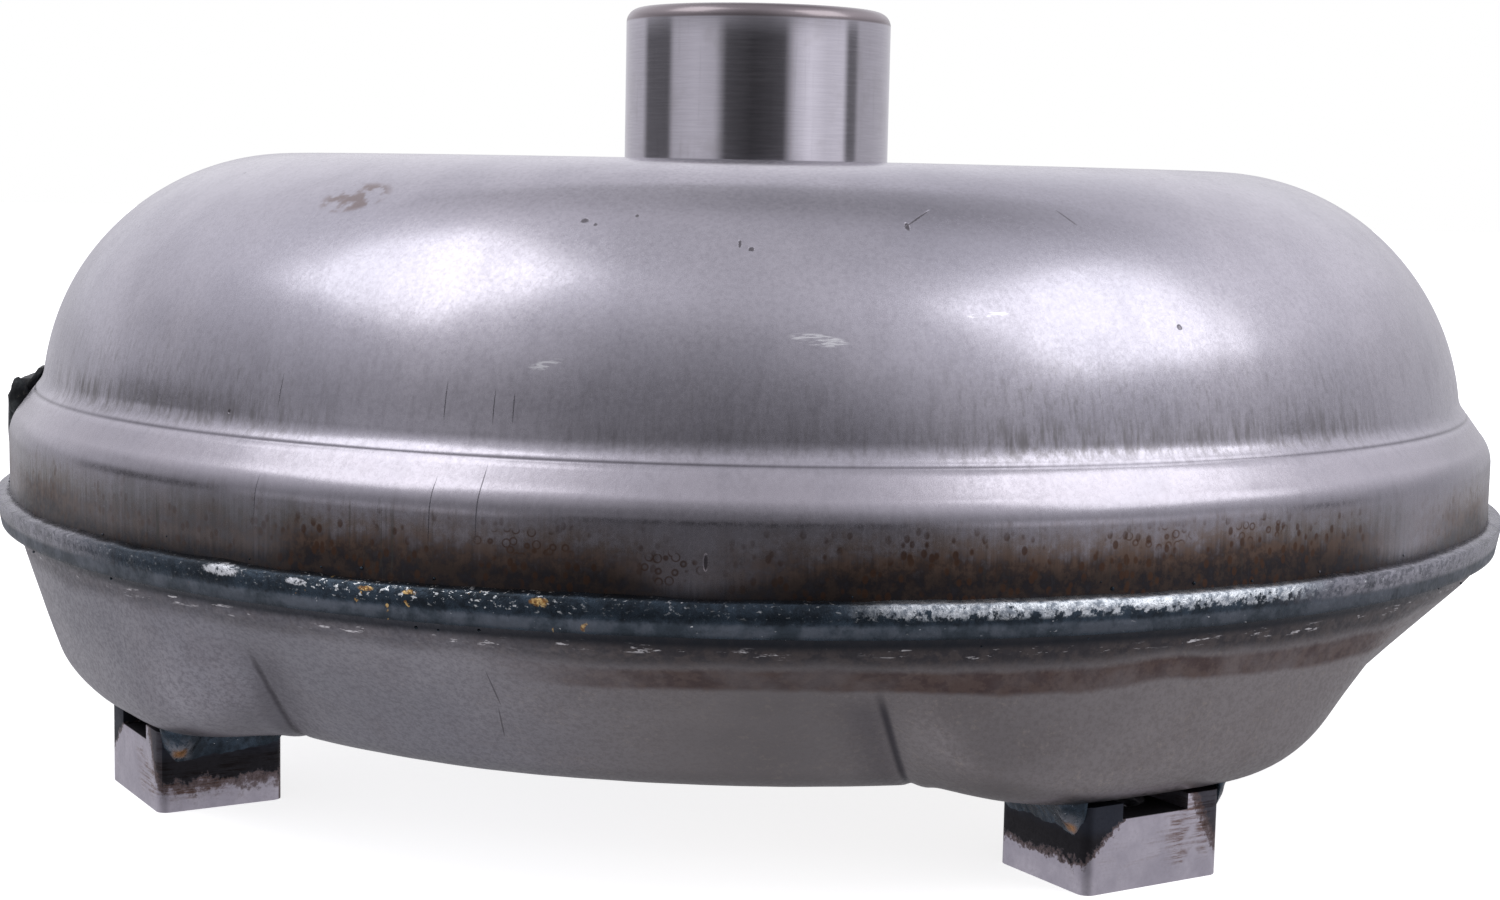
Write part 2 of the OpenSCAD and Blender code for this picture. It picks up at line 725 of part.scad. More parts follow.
bearing_cage(front_bearing_r[0], front_bearing_r[1], cover_face_z, front_needles_n);  // front_bearing_cage
bearing_rollers(front_bearing_r[0], front_bearing_r[1], cover_face_z, front_needles_n);  // front_bearing_rollers
bearing_race(front_bearing_r[0], front_bearing_r[1], cover_face_z);  // front_bearing_cover_race
turbine_shell();
turbine_blades();
turbine_core_ring();
turbine_hub();
turbine_rivets();
piston_seal_ring();
damper_driven_plate();
damper_front_plate();
damper_rear_plate();
damper_stop_pins();
damper_springs();
lockup_piston();
friction_lining();
stator_wheel();
stator_cap(stator_z[0] - cap_t);  // stator_front_cap
stator_cap(stator_z[1] + gap);  // stator_rear_cap
clutch_outer_race();
clutch_rollers();
clutch_springs();
clutch_inner_race();
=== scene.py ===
"""The torque converter's looks: detailed meshes for the pieces that show, and a finish for every piece."""
import json
import math
import bmesh
import bpy
import numpy as np
from mathutils import Matrix, Vector


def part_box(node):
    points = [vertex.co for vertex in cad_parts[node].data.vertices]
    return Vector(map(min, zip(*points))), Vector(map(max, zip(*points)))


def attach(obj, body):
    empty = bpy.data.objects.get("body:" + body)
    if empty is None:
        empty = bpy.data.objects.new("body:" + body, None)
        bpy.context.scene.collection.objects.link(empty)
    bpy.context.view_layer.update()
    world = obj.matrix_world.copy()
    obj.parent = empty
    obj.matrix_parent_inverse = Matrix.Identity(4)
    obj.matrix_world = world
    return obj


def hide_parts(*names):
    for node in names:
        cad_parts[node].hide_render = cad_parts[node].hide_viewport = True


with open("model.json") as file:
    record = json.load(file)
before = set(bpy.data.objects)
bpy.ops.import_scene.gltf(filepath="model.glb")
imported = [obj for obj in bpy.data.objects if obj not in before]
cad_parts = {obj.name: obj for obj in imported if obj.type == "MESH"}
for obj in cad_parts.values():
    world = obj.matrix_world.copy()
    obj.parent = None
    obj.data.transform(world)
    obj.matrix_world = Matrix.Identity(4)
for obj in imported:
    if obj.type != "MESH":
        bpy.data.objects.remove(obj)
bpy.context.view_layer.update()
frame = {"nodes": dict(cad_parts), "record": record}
NODES = frame["nodes"]
HOUSING = "housing"

# ---- sizes, in millimetres, from the frame where the CAD states them -------------------------------

MM = 0.001


def node_size(node):
    """(largest radius, lowest z, highest z) of a CAD node, in millimetres."""
    points = np.array([v.co[:] for v in NODES[node].data.vertices]) / MM
    return np.hypot(points[:, 0], points[:, 1]).max(), points[:, 2].min(), points[:, 2].max()


SKIRT_R = round(node_size("rear_shell")[0], 1)
HUB_TOP = round(node_size("pump_hub")[2], 1)
WELD_R = node_size("closure_weld")[0]
TORUS_R, TORUS_Z, TUBE_R = 82.0, 61.0, 42.8
WALL = 4.0
NECK_Z, NECK_ROUND = 66.7, 5.0
SHOULDER_Z, SHOULDER_ROUND = 56.0, 6.0
WEB_Z, WEB_ROUND = 90.0, 8.0
WELD_Z = 43.8
HUB_R, HUB_BORE_R = 47.63 / 2, 19.0
HUB_FLANGE_R, HUB_FLANGE_Z = 36.0, (83.0, 89.0)
KEYWAY_W, KEYWAY_R, KEYWAY_Z = 8.0, 21.2, 117.0
PAD_Z, DISH_Z, CENTRE_Z = 13.05, 12.75, 17.0
LUG_R, LUG_W, LUG_LEN, LUG_H = 104.8, 25.4, 20.4, 12.95
CHANNEL_W, CHANNEL_DEPTH = 12.2, 2.3
PILOT_R, PILOT_END, SPIGOT_R = 21.6, 2.0, 15.0
JOURNAL_TOP, RELIEF = 13.2, 0.6

# Plan of the crease beside a lug, from its dish end to its rim end: out along the lug's radius, and across it
CREASE_LOW, CREASE_HIGH = np.array([100.1, 33.6]), np.array([116.2, 51.2])
CREASE_RUN = (CREASE_HIGH - CREASE_LOW) / np.linalg.norm(CREASE_HIGH - CREASE_LOW)
CREASE_OFFSET = float(CREASE_LOW[0] * CREASE_RUN[1] - CREASE_LOW[1] * CREASE_RUN[0])

VIEW_AZ = -31.4  # the photograph's viewpoint, in degrees round from -Y towards +X


def polar(azimuth, r, z):
    """A point in millimetres, its azimuth in degrees counted from the viewpoint, positive to the right."""
    a = math.radians(azimuth + VIEW_AZ)
    return Vector((r * math.sin(a), -r * math.cos(a), z))


# ---- mesh helpers ----------------------------------------------------------------------------------


class Lumps:
    """A smooth random field over points in millimetres, the same on each run."""

    def __init__(self, seed):
        self.table = np.random.default_rng(seed).random((32, 32, 32)) * 2 - 1

    def __call__(self, points, size, octaves=1):
        total, weight = 0, 1
        for octave in range(octaves):
            total = total + weight * self._layer(points / (size / 2**octave) + 7.3 * octave)
            weight /= 2
        return total

    def _layer(self, p):
        low = np.floor(p).astype(int)
        f = p - low
        f = f * f * (3 - 2 * f)
        out = 0
        for corner in np.ndindex(2, 2, 2):
            share = np.prod(np.where(corner, f, 1 - f), axis=-1)
            i, j, k = np.moveaxis((low + corner) % 32, -1, 0)
            out = out + share * self.table[i, j, k]
        return out


def add_piece(name, vertices, faces, body=HOUSING):
    """A smooth-shaded mesh piece from vertices in millimetres, riding on a body."""
    mesh = bpy.data.meshes.new(name)
    mesh.from_pydata((np.asarray(vertices) * MM).tolist(), [], faces)
    mesh.validate()
    mesh.shade_smooth()
    piece = bpy.data.objects.new(name, mesh)
    bpy.context.scene.collection.objects.link(piece)
    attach(piece, body)
    return piece


def grid_faces(rows, columns, close_rows=True, start=0):
    """Quads over a grid of points whose columns wrap round, and whose rows wrap too if close_rows."""
    i, j = np.meshgrid(np.arange(rows if close_rows else rows - 1), np.arange(columns), indexing="ij")
    i2, j2 = (i + 1) % rows, (j + 1) % columns
    quads = np.stack([i * columns + j, i * columns + j2, i2 * columns + j2, i2 * columns + j], -1)
    return (quads.reshape(-1, 4) + start).tolist()


def angles(count):
    return np.linspace(0, 2 * np.pi, count, endpoint=False)


def turn(r, z, azimuths):
    """Points of (r, z), each an outline or a grid of outlines, turned round the axis."""
    return np.stack(np.broadcast_arrays(r * np.cos(azimuths), r * np.sin(azimuths), z), -1)


def arc(centre, radius, start, end, count):
    a = np.radians(np.linspace(start, end, count))
    return np.stack([centre[0] + radius * np.cos(a), centre[1] + radius * np.sin(a)], 1)


def spaced(outline, step):
    """The outline with extra points, so that no two are further apart than step."""
    out = [outline[0]]
    for a, b in zip(outline[:-1], outline[1:]):
        n = max(1, math.ceil(math.dist(a, b) / step))
        out += [a + (b - a) * (k + 1) / n for k in range(n)]
    return np.array(out)


def lathe(name, outline, segments=384, step=3.0, body=HOUSING):
    """A solid turned about the axis from an outline that closes on itself."""
    outline = spaced(np.vstack([outline, outline[:1]]), step)[:-1]
    points = turn(outline[:, :1], outline[:, 1:], angles(segments)[None])
    return add_piece(name, points.reshape(-1, 3), grid_faces(len(outline), segments), body)


def crease(piece, degrees=35):
    """Marks the edges that turn by more than this as sharp."""
    bm = bmesh.new()
    bm.from_mesh(piece.data)
    limit = math.radians(degrees)
    for edge in bm.edges:
        edge.smooth = edge.calc_face_angle(0) < limit
    bm.to_mesh(piece.data)
    bm.free()


def bake(piece):
    """Applies the piece's modifiers."""
    evaluated = piece.evaluated_get(bpy.context.evaluated_depsgraph_get())
    mesh = bpy.data.meshes.new_from_object(evaluated)
    piece.modifiers.clear()
    piece.data = mesh


def box_cutter(low, high):
    bm = bmesh.new()
    bmesh.ops.create_cube(bm, size=1)
    low, high = Vector(low), Vector(high)
    for v in bm.verts:
        v.co = (low + high) / 2 + Vector(a * b for a, b in zip(v.co, high - low))
    return bm


def round_cutter(x, y, low, high, r_low, r_high, segments=64):
    bm = bmesh.new()
    bmesh.ops.create_cone(
        bm, cap_ends=True, segments=segments, radius1=r_low, radius2=r_high, depth=high - low,
        matrix=Matrix.Translation((x, y, (low + high) / 2)),
    )
    return bm


def cut(piece, cutters):
    """Cuts bmesh solids, in millimetres, out of a piece."""
    made = []
    for bm in cutters:
        mesh = bpy.data.meshes.new("cutter")
        bm.to_mesh(mesh)
        bm.free()
        mesh.transform(Matrix.Scale(MM, 4))
        cutter = bpy.data.objects.new("cutter", mesh)
        bpy.context.scene.collection.objects.link(cutter)
        modifier = piece.modifiers.new("cut", "BOOLEAN")
        modifier.operation, modifier.solver, modifier.object = "DIFFERENCE", "EXACT", cutter
        made.append(cutter)
    bake(piece)
    for cutter in made:
        bpy.data.objects.remove(cutter)


def blobs(name, places, seed, body=HOUSING, rough=0.25):
    """Lumps of metal: each place is (centre, radii along x, y and z, turn about Z in degrees)."""
    lumps = Lumps(seed)
    vertices, faces = [], []
    for centre, radii, about_z in places:
        bm = bmesh.new()
        bmesh.ops.create_icosphere(bm, subdivisions=4 if max(radii) > 1 else 2, radius=1)
        unit = np.array([v.co[:] for v in bm.verts])
        spin = np.array(Matrix.Rotation(math.radians(about_z), 3, "Z"))
        points = unit * (1 + rough * lumps(unit * 3 + np.array(centre), 1.4, 2))[:, None] * np.array(radii)
        start = sum(len(v) for v in vertices)
        faces += [[v.index + start for v in f.verts] for f in bm.faces]
        vertices.append(points @ spin.T + np.array(centre))
        bm.free()
    return add_piece(name, np.vstack(vertices), faces, body)


# ---- shaders ---------------------------------------------------------------------------------------


def srgb(*values):
    """Linear colour from 0 to 255 screen values."""
    c = [v / 255 for v in values]
    return tuple(v / 12.92 if v <= 0.04045 else ((v + 0.055) / 1.055) ** 2.4 for v in c) + (1.0,)


class Finish:
    """A material whose nodes work in the row frame's millimetres."""

    def __init__(self, name, metallic=1.0, **fixed):
        self.material = bpy.data.materials.new(name)
        self.material.use_nodes = True
        self.tree = self.material.node_tree
        self.tree.nodes.clear()
        self.shader = self.node("ShaderNodeBsdfPrincipled")
        output = self.node("ShaderNodeOutputMaterial")
        self.link(self.shader.outputs[0], output.inputs["Surface"])
        self.shader.inputs["Metallic"].default_value = metallic
        for socket, value in fixed.items():
            self.shader.inputs[socket.replace("_", " ")].default_value = value
        coordinates = self.node("ShaderNodeTexCoord").outputs["Object"]
        self.place = self.vector("SCALE", coordinates, scale=1 / MM)
        split = self.node("ShaderNodeSeparateXYZ")
        self.link(self.place, split.inputs[0])
        self.x, self.y, self.z = split.outputs
        self.normal = None

    def node(self, kind):
        return self.tree.nodes.new(kind)

    def link(self, source, socket):
        self.tree.links.new(source, socket)

    def put(self, value, socket):
        if isinstance(value, bpy.types.NodeSocket):
            self.link(value, socket)
        else:
            socket.default_value = value

    def math(self, operation, *values, clamp=False):
        node = self.node("ShaderNodeMath")
        node.operation, node.use_clamp = operation, clamp
        for value, socket in zip(values, node.inputs):
            self.put(value, socket)
        return node.outputs[0]

    def times(self, *values):
        out = values[0]
        for value in values[1:]:
            out = self.math("MULTIPLY", out, value)
        return out

    def plus(self, *values):
        out = values[0]
        for value in values[1:]:
            out = self.math("ADD", out, value)
        return out

    def vector(self, operation, *values, scale=None):
        node = self.node("ShaderNodeVectorMath")
        node.operation = operation
        for value, socket in zip(values, node.inputs):
            self.put(value, socket)
        if scale is not None:
            node.inputs["Scale"].default_value = scale
        return node.outputs["Value" if operation in ("LENGTH", "DISTANCE", "DOT_PRODUCT") else "Vector"]

    def stretched(self, stretch):
        return self.vector("MULTIPLY", self.place, stretch)

    def noise(self, size, detail=2.0, rough=0.5, stretch=None, twist=0.0):
        """Noise from 0 to 1 with features of about size millimetres; stretch squeezes the coordinates."""
        node = self.node("ShaderNodeTexNoise")
        self.link(self.stretched(stretch) if stretch else self.place, node.inputs["Vector"])
        for socket, value in (("Scale", 1 / size), ("Detail", detail), ("Roughness", rough), ("Distortion", twist)):
            node.inputs[socket].default_value = value
        return node.outputs["Fac"]

    def cells(self, size, feature="F1", output="Distance", stretch=None, jitter=1.0):
        node = self.node("ShaderNodeTexVoronoi")
        node.feature = feature
        self.link(self.stretched(stretch) if stretch else self.place, node.inputs["Vector"])
        node.inputs["Scale"].default_value = 1 / size
        node.inputs["Randomness"].default_value = jitter
        return node.outputs[output]

    def ramp(self, value, low, high, out_low=0.0, out_high=1.0):
        """value mapped smoothly from low..high to out_low..out_high, and held outside it."""
        node = self.node("ShaderNodeMapRange")
        node.interpolation_type = "SMOOTHSTEP"
        for key, v in zip(("Value", "From Min", "From Max", "To Min", "To Max"), (value, low, high, out_low, out_high)):
            self.put(v, node.inputs[key])
        return node.outputs["Result"]

    def band(self, value, low, high, soft):
        return self.times(self.ramp(value, low - soft, low + soft), self.ramp(value, high - soft, high + soft, 1.0, 0.0))

    def mix(self, amount, a, b):
        node = self.node("ShaderNodeMix")
        node.data_type = "RGBA"
        for value, socket in ((amount, node.inputs[0]), (a, node.inputs[6]), (b, node.inputs[7])):
            self.put(value, socket)
        return node.outputs[2]

    def near(self, point, radius, soft):
        """1 within radius of a point, fading to 0 over soft millimetres."""
        distance = self.vector("DISTANCE", self.place, tuple(point))
        return self.ramp(distance, radius, radius + soft, 1.0, 0.0)

    def mark(self, place, along, across, tilt=0.0, soft=0.6, ragged=0.0):
        """1 inside an ellipse lying on the surface at (azimuth, r, z), its long axis tilted from level."""
        azimuth, lean = place[0], math.radians(tilt)
        level, upright = polar(azimuth + 90, 1, 0), Vector((0, 0, 1))
        offset = self.vector("SUBTRACT", self.place, tuple(polar(*place)))
        a = self.vector("DOT_PRODUCT", offset, tuple((level * math.cos(lean) + upright * math.sin(lean)) / along))
        b = self.vector("DOT_PRODUCT", offset, tuple((upright * math.cos(lean) - level * math.sin(lean)) / across))
        reach = self.plus(self.times(a, a), self.times(b, b))
        if ragged:
            reach = self.plus(reach, self.times(self.noise(0.9, 4, 0.7), 2 * ragged), -ragged)
        inside = self.ramp(reach, 1 - soft, 1.0, 1.0, 0.0)
        return self.times(inside, self.near(polar(*place), along + across, 1.0))

    def bump(self, height, depth, strength=1.0):
        """Adds relief of depth millimetres to the normal."""
        node = self.node("ShaderNodeBump")
        node.inputs["Strength"].default_value = strength
        node.inputs["Distance"].default_value = depth * MM
        self.put(height, node.inputs["Height"])
        if self.normal is not None:
            self.link(self.normal, node.inputs["Normal"])
        self.normal = node.outputs[0]

    def done(self, colour, roughness):
        self.put(colour, self.shader.inputs["Base Color"])
        self.put(roughness, self.shader.inputs["Roughness"])
        if self.normal is not None:
            self.link(self.normal, self.shader.inputs["Normal"])
        return self.material


def angle_window(f, azimuth, width, soft):
    """1 within width degrees of an azimuth counted from the viewpoint, by the direction from the axis."""
    flat = f.vector("NORMALIZE", f.vector("MULTIPLY", f.place, (1, 1, 0)))
    facing = f.vector("DOT_PRODUCT", flat, tuple(polar(azimuth, 1, 0)))
    return f.ramp(facing, math.cos(math.radians(width + soft)), math.cos(math.radians(width)))


def shell_steel():
    """Bare pressed steel: satin and grainy, streaked by the draw, browned towards the closure weld."""
    f = Finish("shell_steel")
    broad = f.noise(45, 3, 0.55)
    cloud = f.noise(9, 4, 0.6)
    grain = f.noise(0.75, 3, 0.7)
    streak = f.noise(1.6, 4, 0.65, stretch=(1, 1, 0.05))
    fine_streak = f.noise(0.7, 4, 0.7, stretch=(1, 1, 0.03))
    spin = f.noise(1.1, 3, 0.6, stretch=(0.05, 0.05, 1.6))
    colour = f.mix(f.ramp(broad, 0.35, 0.65), srgb(176, 174, 184), srgb(190, 187, 196))
    colour = f.mix(f.ramp(cloud, 0.42, 0.7, 0.0, 0.22), colour, srgb(158, 155, 165))
    colour = f.mix(f.ramp(grain, 0.35, 0.75, 0.0, 0.30), colour, srgb(140, 137, 146))
    drawn = f.ramp(f.z, 62, 88, 1.0, 0.15)
    colour = f.mix(f.times(drawn, f.ramp(streak, 0.45, 0.72, 0.0, 0.4)), colour, srgb(142, 139, 146))
    # oily residue in the hollow neck, in patches
    patches = f.plus(
        f.times(angle_window(f, -46, 11, 10), 0.9), f.times(angle_window(f, 31, 12, 9), 0.9),
        f.times(angle_window(f, 5, 9, 14), 0.45), f.ramp(f.noise(34, 2), 0.5, 0.7, 0.0, 0.6),
    )
    neck = f.times(f.band(f.z, 64.5, 68.5, 2.2), f.ramp(f.plus(f.times(streak, 0.5), f.times(fine_streak, 0.5)), 0.40, 0.62), patches)
    neck = f.math("MINIMUM", neck, 1.0)
    colour = f.mix(f.times(neck, 0.48), colour, srgb(92, 88, 80))
    high_streak = f.times(f.band(f.z, 67, 76, 5.0), f.ramp(fine_streak, 0.45, 0.75), patches)
    colour = f.mix(f.math("MINIMUM", f.times(high_streak, 0.4), 1.0), colour, srgb(110, 108, 104))
    # a darker band over the shoulder, and a patchy painted highlight along its slope
    slope_highlight = f.times(f.band(f.z, 58.5, 63.5, 1.6), f.ramp(cloud, 0.3, 0.6, 0.5, 1.0))
    colour = f.mix(f.times(f.band(f.z, 47, 63, 3.0), 0.5), colour, srgb(144, 141, 149))
    colour = f.mix(f.times(slope_highlight, 0.3), colour, srgb(200, 194, 202))
    # painted shade: a dark line along the fine fold where the hollow neck meets the slope
    fold = f.band(f.z, 63.35, 63.75, 0.22)
    colour = f.mix(f.times(fold, 0.55), colour, srgb(96, 93, 102))
    # heat tint on the skirt: blue-black next to the weld, then brown in stretches, then small spots and rings
    mottle = f.noise(2.2, 4, 0.7)
    ragged = f.plus(f.z, f.times(f.noise(11, 3, 0.6, stretch=(1, 1, 0.4)), -4.0), f.times(fine_streak, -3.2), f.times(mottle, -1.6))
    burnt = f.plus(
        f.times(angle_window(f, -17, 8, 6), 0.9), angle_window(f, 22, 15, 12),
        f.times(angle_window(f, -44, 14, 9), 0.42), f.times(angle_window(f, 180, 115, 20), f.ramp(f.noise(60, 1), 0.42, 0.55, 0.2, 1.0)),
    )
    burnt = f.math("MINIMUM", burnt, 1.0)
    tint = f.times(f.ramp(ragged, 46.6, 50.2, 1.0, 0.0), burnt)
    halo = f.times(f.ramp(ragged, 48.4, 53.6, 1.0, 0.0), f.plus(f.times(burnt, 0.85), 0.15))
    colour = f.mix(f.times(halo, f.ramp(mottle, 0.35, 0.6, 0.3, 0.75)), colour, srgb(122, 104, 90))
    olive = f.times(f.plus(angle_window(f, -45, 15, 7), f.times(angle_window(f, 41, 5, 5), 0.7)), f.band(f.plus(f.z, f.times(cloud, 6.0)), 46, 58.5, 2.5), f.ramp(fine_streak, 0.3, 0.6, 0.5, 1.0))
    colour = f.mix(f.times(olive, 0.55), colour, srgb(94, 98, 96))
    brown = f.mix(f.ramp(mottle, 0.36, 0.64), srgb(68, 58, 55), srgb(108, 90, 80))
    colour = f.mix(f.times(tint, f.ramp(mottle, 0.25, 0.5, 0.75, 1.0)), colour, brown)
    close = f.ramp(f.plus(f.z, f.times(fine_streak, -2.0), f.times(burnt, -2.6)), 45.2, 48.2, 1.0, 0.0)
    colour = f.mix(f.times(close, 0.75), colour, f.mix(f.ramp(mottle, 0.4, 0.6), srgb(42, 44, 50), srgb(60, 54, 52)))
    rings = f.cells(1.5, jitter=0.7)
    ringed = f.plus(f.mark((-4.5, 130.2, 50.4), 5.0, 2.6), f.mark((33, 130.2, 54.2), 6.0, 1.8), f.mark((25, 130.2, 54.0), 7.0, 1.6),
                    f.mark((-13, 130.2, 53.0), 9.0, 2.0))
    colour = f.mix(f.times(f.band(rings, 0.30, 0.42, 0.05), ringed, 0.75), colour, srgb(92, 70, 58))
    spots = f.times(f.ramp(f.cells(1.3, stretch=(1, 1, 0.7)), 0.26, 0.40, 1.0, 0.0), f.ramp(ragged, 49.0, 53.0, 1.0, 0.0), f.ramp(f.noise(6, 2), 0.42, 0.52))
    colour = f.mix(f.times(spots, burnt, 0.8), colour, srgb(84, 62, 50))
    # dark and greenish draw lines down the skirt, most of them to the left
    lines = f.times(f.ramp(fine_streak, 0.56, 0.66), f.ramp(f.noise(9, 2, stretch=(1, 1, 0.25)), 0.45, 0.6), f.band(f.z, 47, 57, 2.5))
    colour = f.mix(f.times(lines, f.plus(angle_window(f, -44, 14, 12), 0.35), 0.6), colour, srgb(84, 86, 82))
    # scores across the shoulder
    scores = f.plus(*(f.mark(place, length, 0.09, tilt) for place, length, tilt in (
        ((-19.0, 130.0, 56.0), 5.0, 88), ((-16.0, 130.0, 57.0), 6.0, 88), ((-31.5, 130.0, 56.0), 3.5, 86),
        ((-32.0, 123.5, 70.5), 2.4, 88), ((-19.4, 123.5, 70.5), 2.8, 90), ((-16.1, 123.5, 70.0), 2.6, 90), ((-14.8, 123.5, 70.0), 2.4, 90),
    )))
    colour = f.mix(f.times(scores, 0.7), colour, srgb(66, 64, 70))
    # marks on the dome
    smudge = f.times(f.mark((-33.7, 104.9, 97.1), 6.5, 2.4, 4), f.ramp(f.noise(3.2, 3), 0.40, 0.54))
    colour = f.mix(f.times(smudge, 0.75), colour, srgb(122, 104, 98))
    scratchy = f.ramp(f.noise(1.0, 3, 0.6, stretch=(0.4, 0.4, 3.0), twist=0.6), 0.45, 0.56)
    rubs = f.plus(f.mark((4.2, 120.3, 79.9), 4.4, 0.9, -6), f.mark((-13.0, 122.2, 75.8), 2.8, 0.7, 14),
                  f.times(f.mark((15.5, 118.4, 83.4), 3.4, 0.35, 4), 0.8))
    colour = f.mix(f.math("MINIMUM", f.times(rubs, scratchy, 0.9), 1.0), colour, srgb(232, 232, 236))
    cuts = f.plus(f.mark((12.2, 106.6, 96.0), 2.8, 0.14, 28), f.mark((24.6, 106.0, 96.4), 1.6, 0.14, -50))
    colour = f.mix(f.times(cuts, 0.7), colour, srgb(88, 84, 90))
    pits = f.times(f.ramp(f.cells(9.0, jitter=1.0), 0.035, 0.055, 1.0, 0.0), f.ramp(cloud, 0.55, 0.6))
    pits = f.plus(pits, f.mark((-2.4, 130.2, 51.4), 0.35, 1.3), *(f.mark(place, *size, ragged=0.6) for place, size in (
        ((-12.5, 108.3, 94.8), (0.65, 0.35)), ((-11.6, 108.9, 94.3), (0.3, 0.2)), ((-8.7, 107.3, 95.6), (0.3, 0.2)),
        ((-1.0, 111.3, 92.2), (0.25, 0.6)), ((-0.2, 112.0, 91.5), (0.45, 0.3)), ((11.2, 108.1, 94.9), (0.45, 0.6)),
    )))
    pits = f.math("MINIMUM", pits, 1.0)
    colour = f.mix(f.times(pits, 0.7), colour, srgb(66, 60, 64))
    roughness = f.plus(
        f.ramp(f.noise(0.8, 6, 0.9), 0.36, 0.64, 0.17, 0.30), f.ramp(cloud, 0.35, 0.7, -0.01, 0.03), f.ramp(f.z, 92, 99, 0.0, -0.07), f.times(tint, 0.16), f.times(neck, 0.14),
    )
    f.bump(f.noise(0.8, 6, 0.85), 0.006)
    f.bump(f.times(streak, drawn), 0.015)
    f.bump(f.times(f.plus(cuts, scores), -1.0), 0.08)
    f.bump(f.times(pits, -1.0), 0.12)
    return f.done(colour, roughness)


def lug_axes(f):
    """(outward, sideways, distance from the lug's middle line) for the nearest of the four lugs."""
    x_wide, y_wide = f.math("ABSOLUTE", f.x), f.math("ABSOLUTE", f.y)
    on_x = f.math("GREATER_THAN", x_wide, y_wide)
    on_y = f.plus(f.times(on_x, -1.0), 1.0)
    sideways = f.plus(f.times(on_x, f.y, f.math("SIGN", f.x)), f.times(on_y, f.x, f.math("SIGN", f.y), -1.0))
    return f.math("MAXIMUM", x_wide, y_wide), sideways, f.math("MINIMUM", x_wide, y_wide)


def cover_steel():
    """Bare pressed steel, duller than the rear shell, with a blued and sooted band under the closure weld."""
    f = Finish("cover_steel")
    broad = f.noise(34, 3, 0.55)
    cloud = f.noise(9, 3, 0.55)
    grain = f.noise(0.8, 6, 0.85)
    coarse = f.noise(2.2, 3, 0.65)
    colour = f.mix(f.ramp(broad, 0.35, 0.65), srgb(144, 143, 150), srgb(160, 158, 164))
    colour = f.mix(f.ramp(cloud, 0.45, 0.7, 0.0, 0.35), colour, srgb(130, 126, 132))
    colour = f.mix(f.ramp(grain, 0.42, 0.62, 0.0, 0.38), colour, srgb(104, 101, 108))
    right = angle_window(f, 30, 32, 20)
    speck = f.times(f.ramp(f.noise(1.1, 6, 0.85), 0.54, 0.62), f.ramp(cloud, 0.35, 0.55), f.plus(f.times(right, 0.8), 0.2))
    colour = f.mix(f.times(speck, 0.5), colour, srgb(186, 178, 172))
    colour = f.mix(f.times(right, 0.5), colour, srgb(136, 127, 120))
    # painted shade at the creases beside the lugs: a dark line in the fold, and shading on the pressed-in side
    outward, sideways, across = lug_axes(f)
    inside = f.plus(f.times(outward, float(CREASE_RUN[1])), f.times(across, -float(CREASE_RUN[0])), -CREASE_OFFSET)
    low = f.band(f.z, 14.5, 31.0, 2.5)
    colour = f.mix(f.times(f.band(inside, -0.7, 0.35, 0.4), low, 0.85), colour, srgb(62, 59, 66))
    colour = f.mix(f.times(f.band(inside, -5.0, 0.0, 3.5), low, 0.45), colour, srgb(84, 81, 88))
    # painted shade: the cover black where it roofs each lug's channel
    under = f.times(f.band(outward, 92, 114.0, 0.6), f.ramp(across, 7.0, 9.0, 1.0, 0.0), f.ramp(f.z, 13.7, 14.3, 1.0, 0.0))
    colour = f.mix(under, colour, (0.004, 0.004, 0.004, 1))
    weld_side = f.times(f.band(outward, 92, 117, 2.0), f.band(across, 10.0, 17.5, 1.6), f.ramp(f.plus(f.z, f.times(coarse, 2.0)), 14.6, 17.0, 1.0, 0.0))
    colour = f.mix(f.times(weld_side, 0.85), colour, srgb(38, 42, 48))
    edge = f.plus(f.z, f.times(f.noise(22, 2, 0.5, stretch=(1, 1, 0.6)), 3.0), f.times(coarse, 0.8), -1.9)
    heated = angle_window(f, 22, 24, 16)
    soot = f.times(f.ramp(edge, 35.6, 38.4), f.plus(f.times(heated, 0.35), 0.5))
    warm = f.times(heated, f.band(edge, 33.0, 36.4, 0.55), f.ramp(cloud, 0.3, 0.6, 0.5, 0.85))
    colour = f.mix(warm, colour, f.mix(f.ramp(coarse, 0.4, 0.6), srgb(78, 60, 58), srgb(98, 80, 74)))
    colour = f.mix(soot, colour, f.mix(f.ramp(coarse, 0.4, 0.6), srgb(52, 51, 56), srgb(78, 72, 72)))
    dark = f.ramp(f.plus(f.z, f.times(coarse, 0.8)), 39.6, 40.8)
    colour = f.mix(f.times(dark, 0.85), colour, srgb(44, 48, 54))
    broken = f.times(f.ramp(f.noise(5, 2), 0.46, 0.54), f.ramp(f.noise(1.3, 4, 0.7, stretch=(0.35, 0.35, 2.4)), 0.57, 0.63))
    chips = f.times(f.band(f.plus(f.z, f.times(f.noise(18, 2), 2.4)), 39.7, 40.9, 0.3), broken)
    colour = f.mix(f.times(chips, 0.95), colour, srgb(226, 224, 226))
    seam = f.plus(f.mark((-16.5, 121.2, 31.1), 3.6, 0.14, -91), f.mark((-17.1, 115.2, 25.0), 3.2, 0.14, -103))
    colour = f.mix(f.math("MINIMUM", f.times(seam, 0.6), 0.6), colour, srgb(64, 60, 66))
    blue = f.times(dark, 0.5)
    roughness = f.plus(f.ramp(grain, 0.42, 0.58, 0.28, 0.44), f.times(soot, 0.06), f.times(blue, -0.14))
    f.bump(grain, 0.008)
    return f.done(colour, roughness)


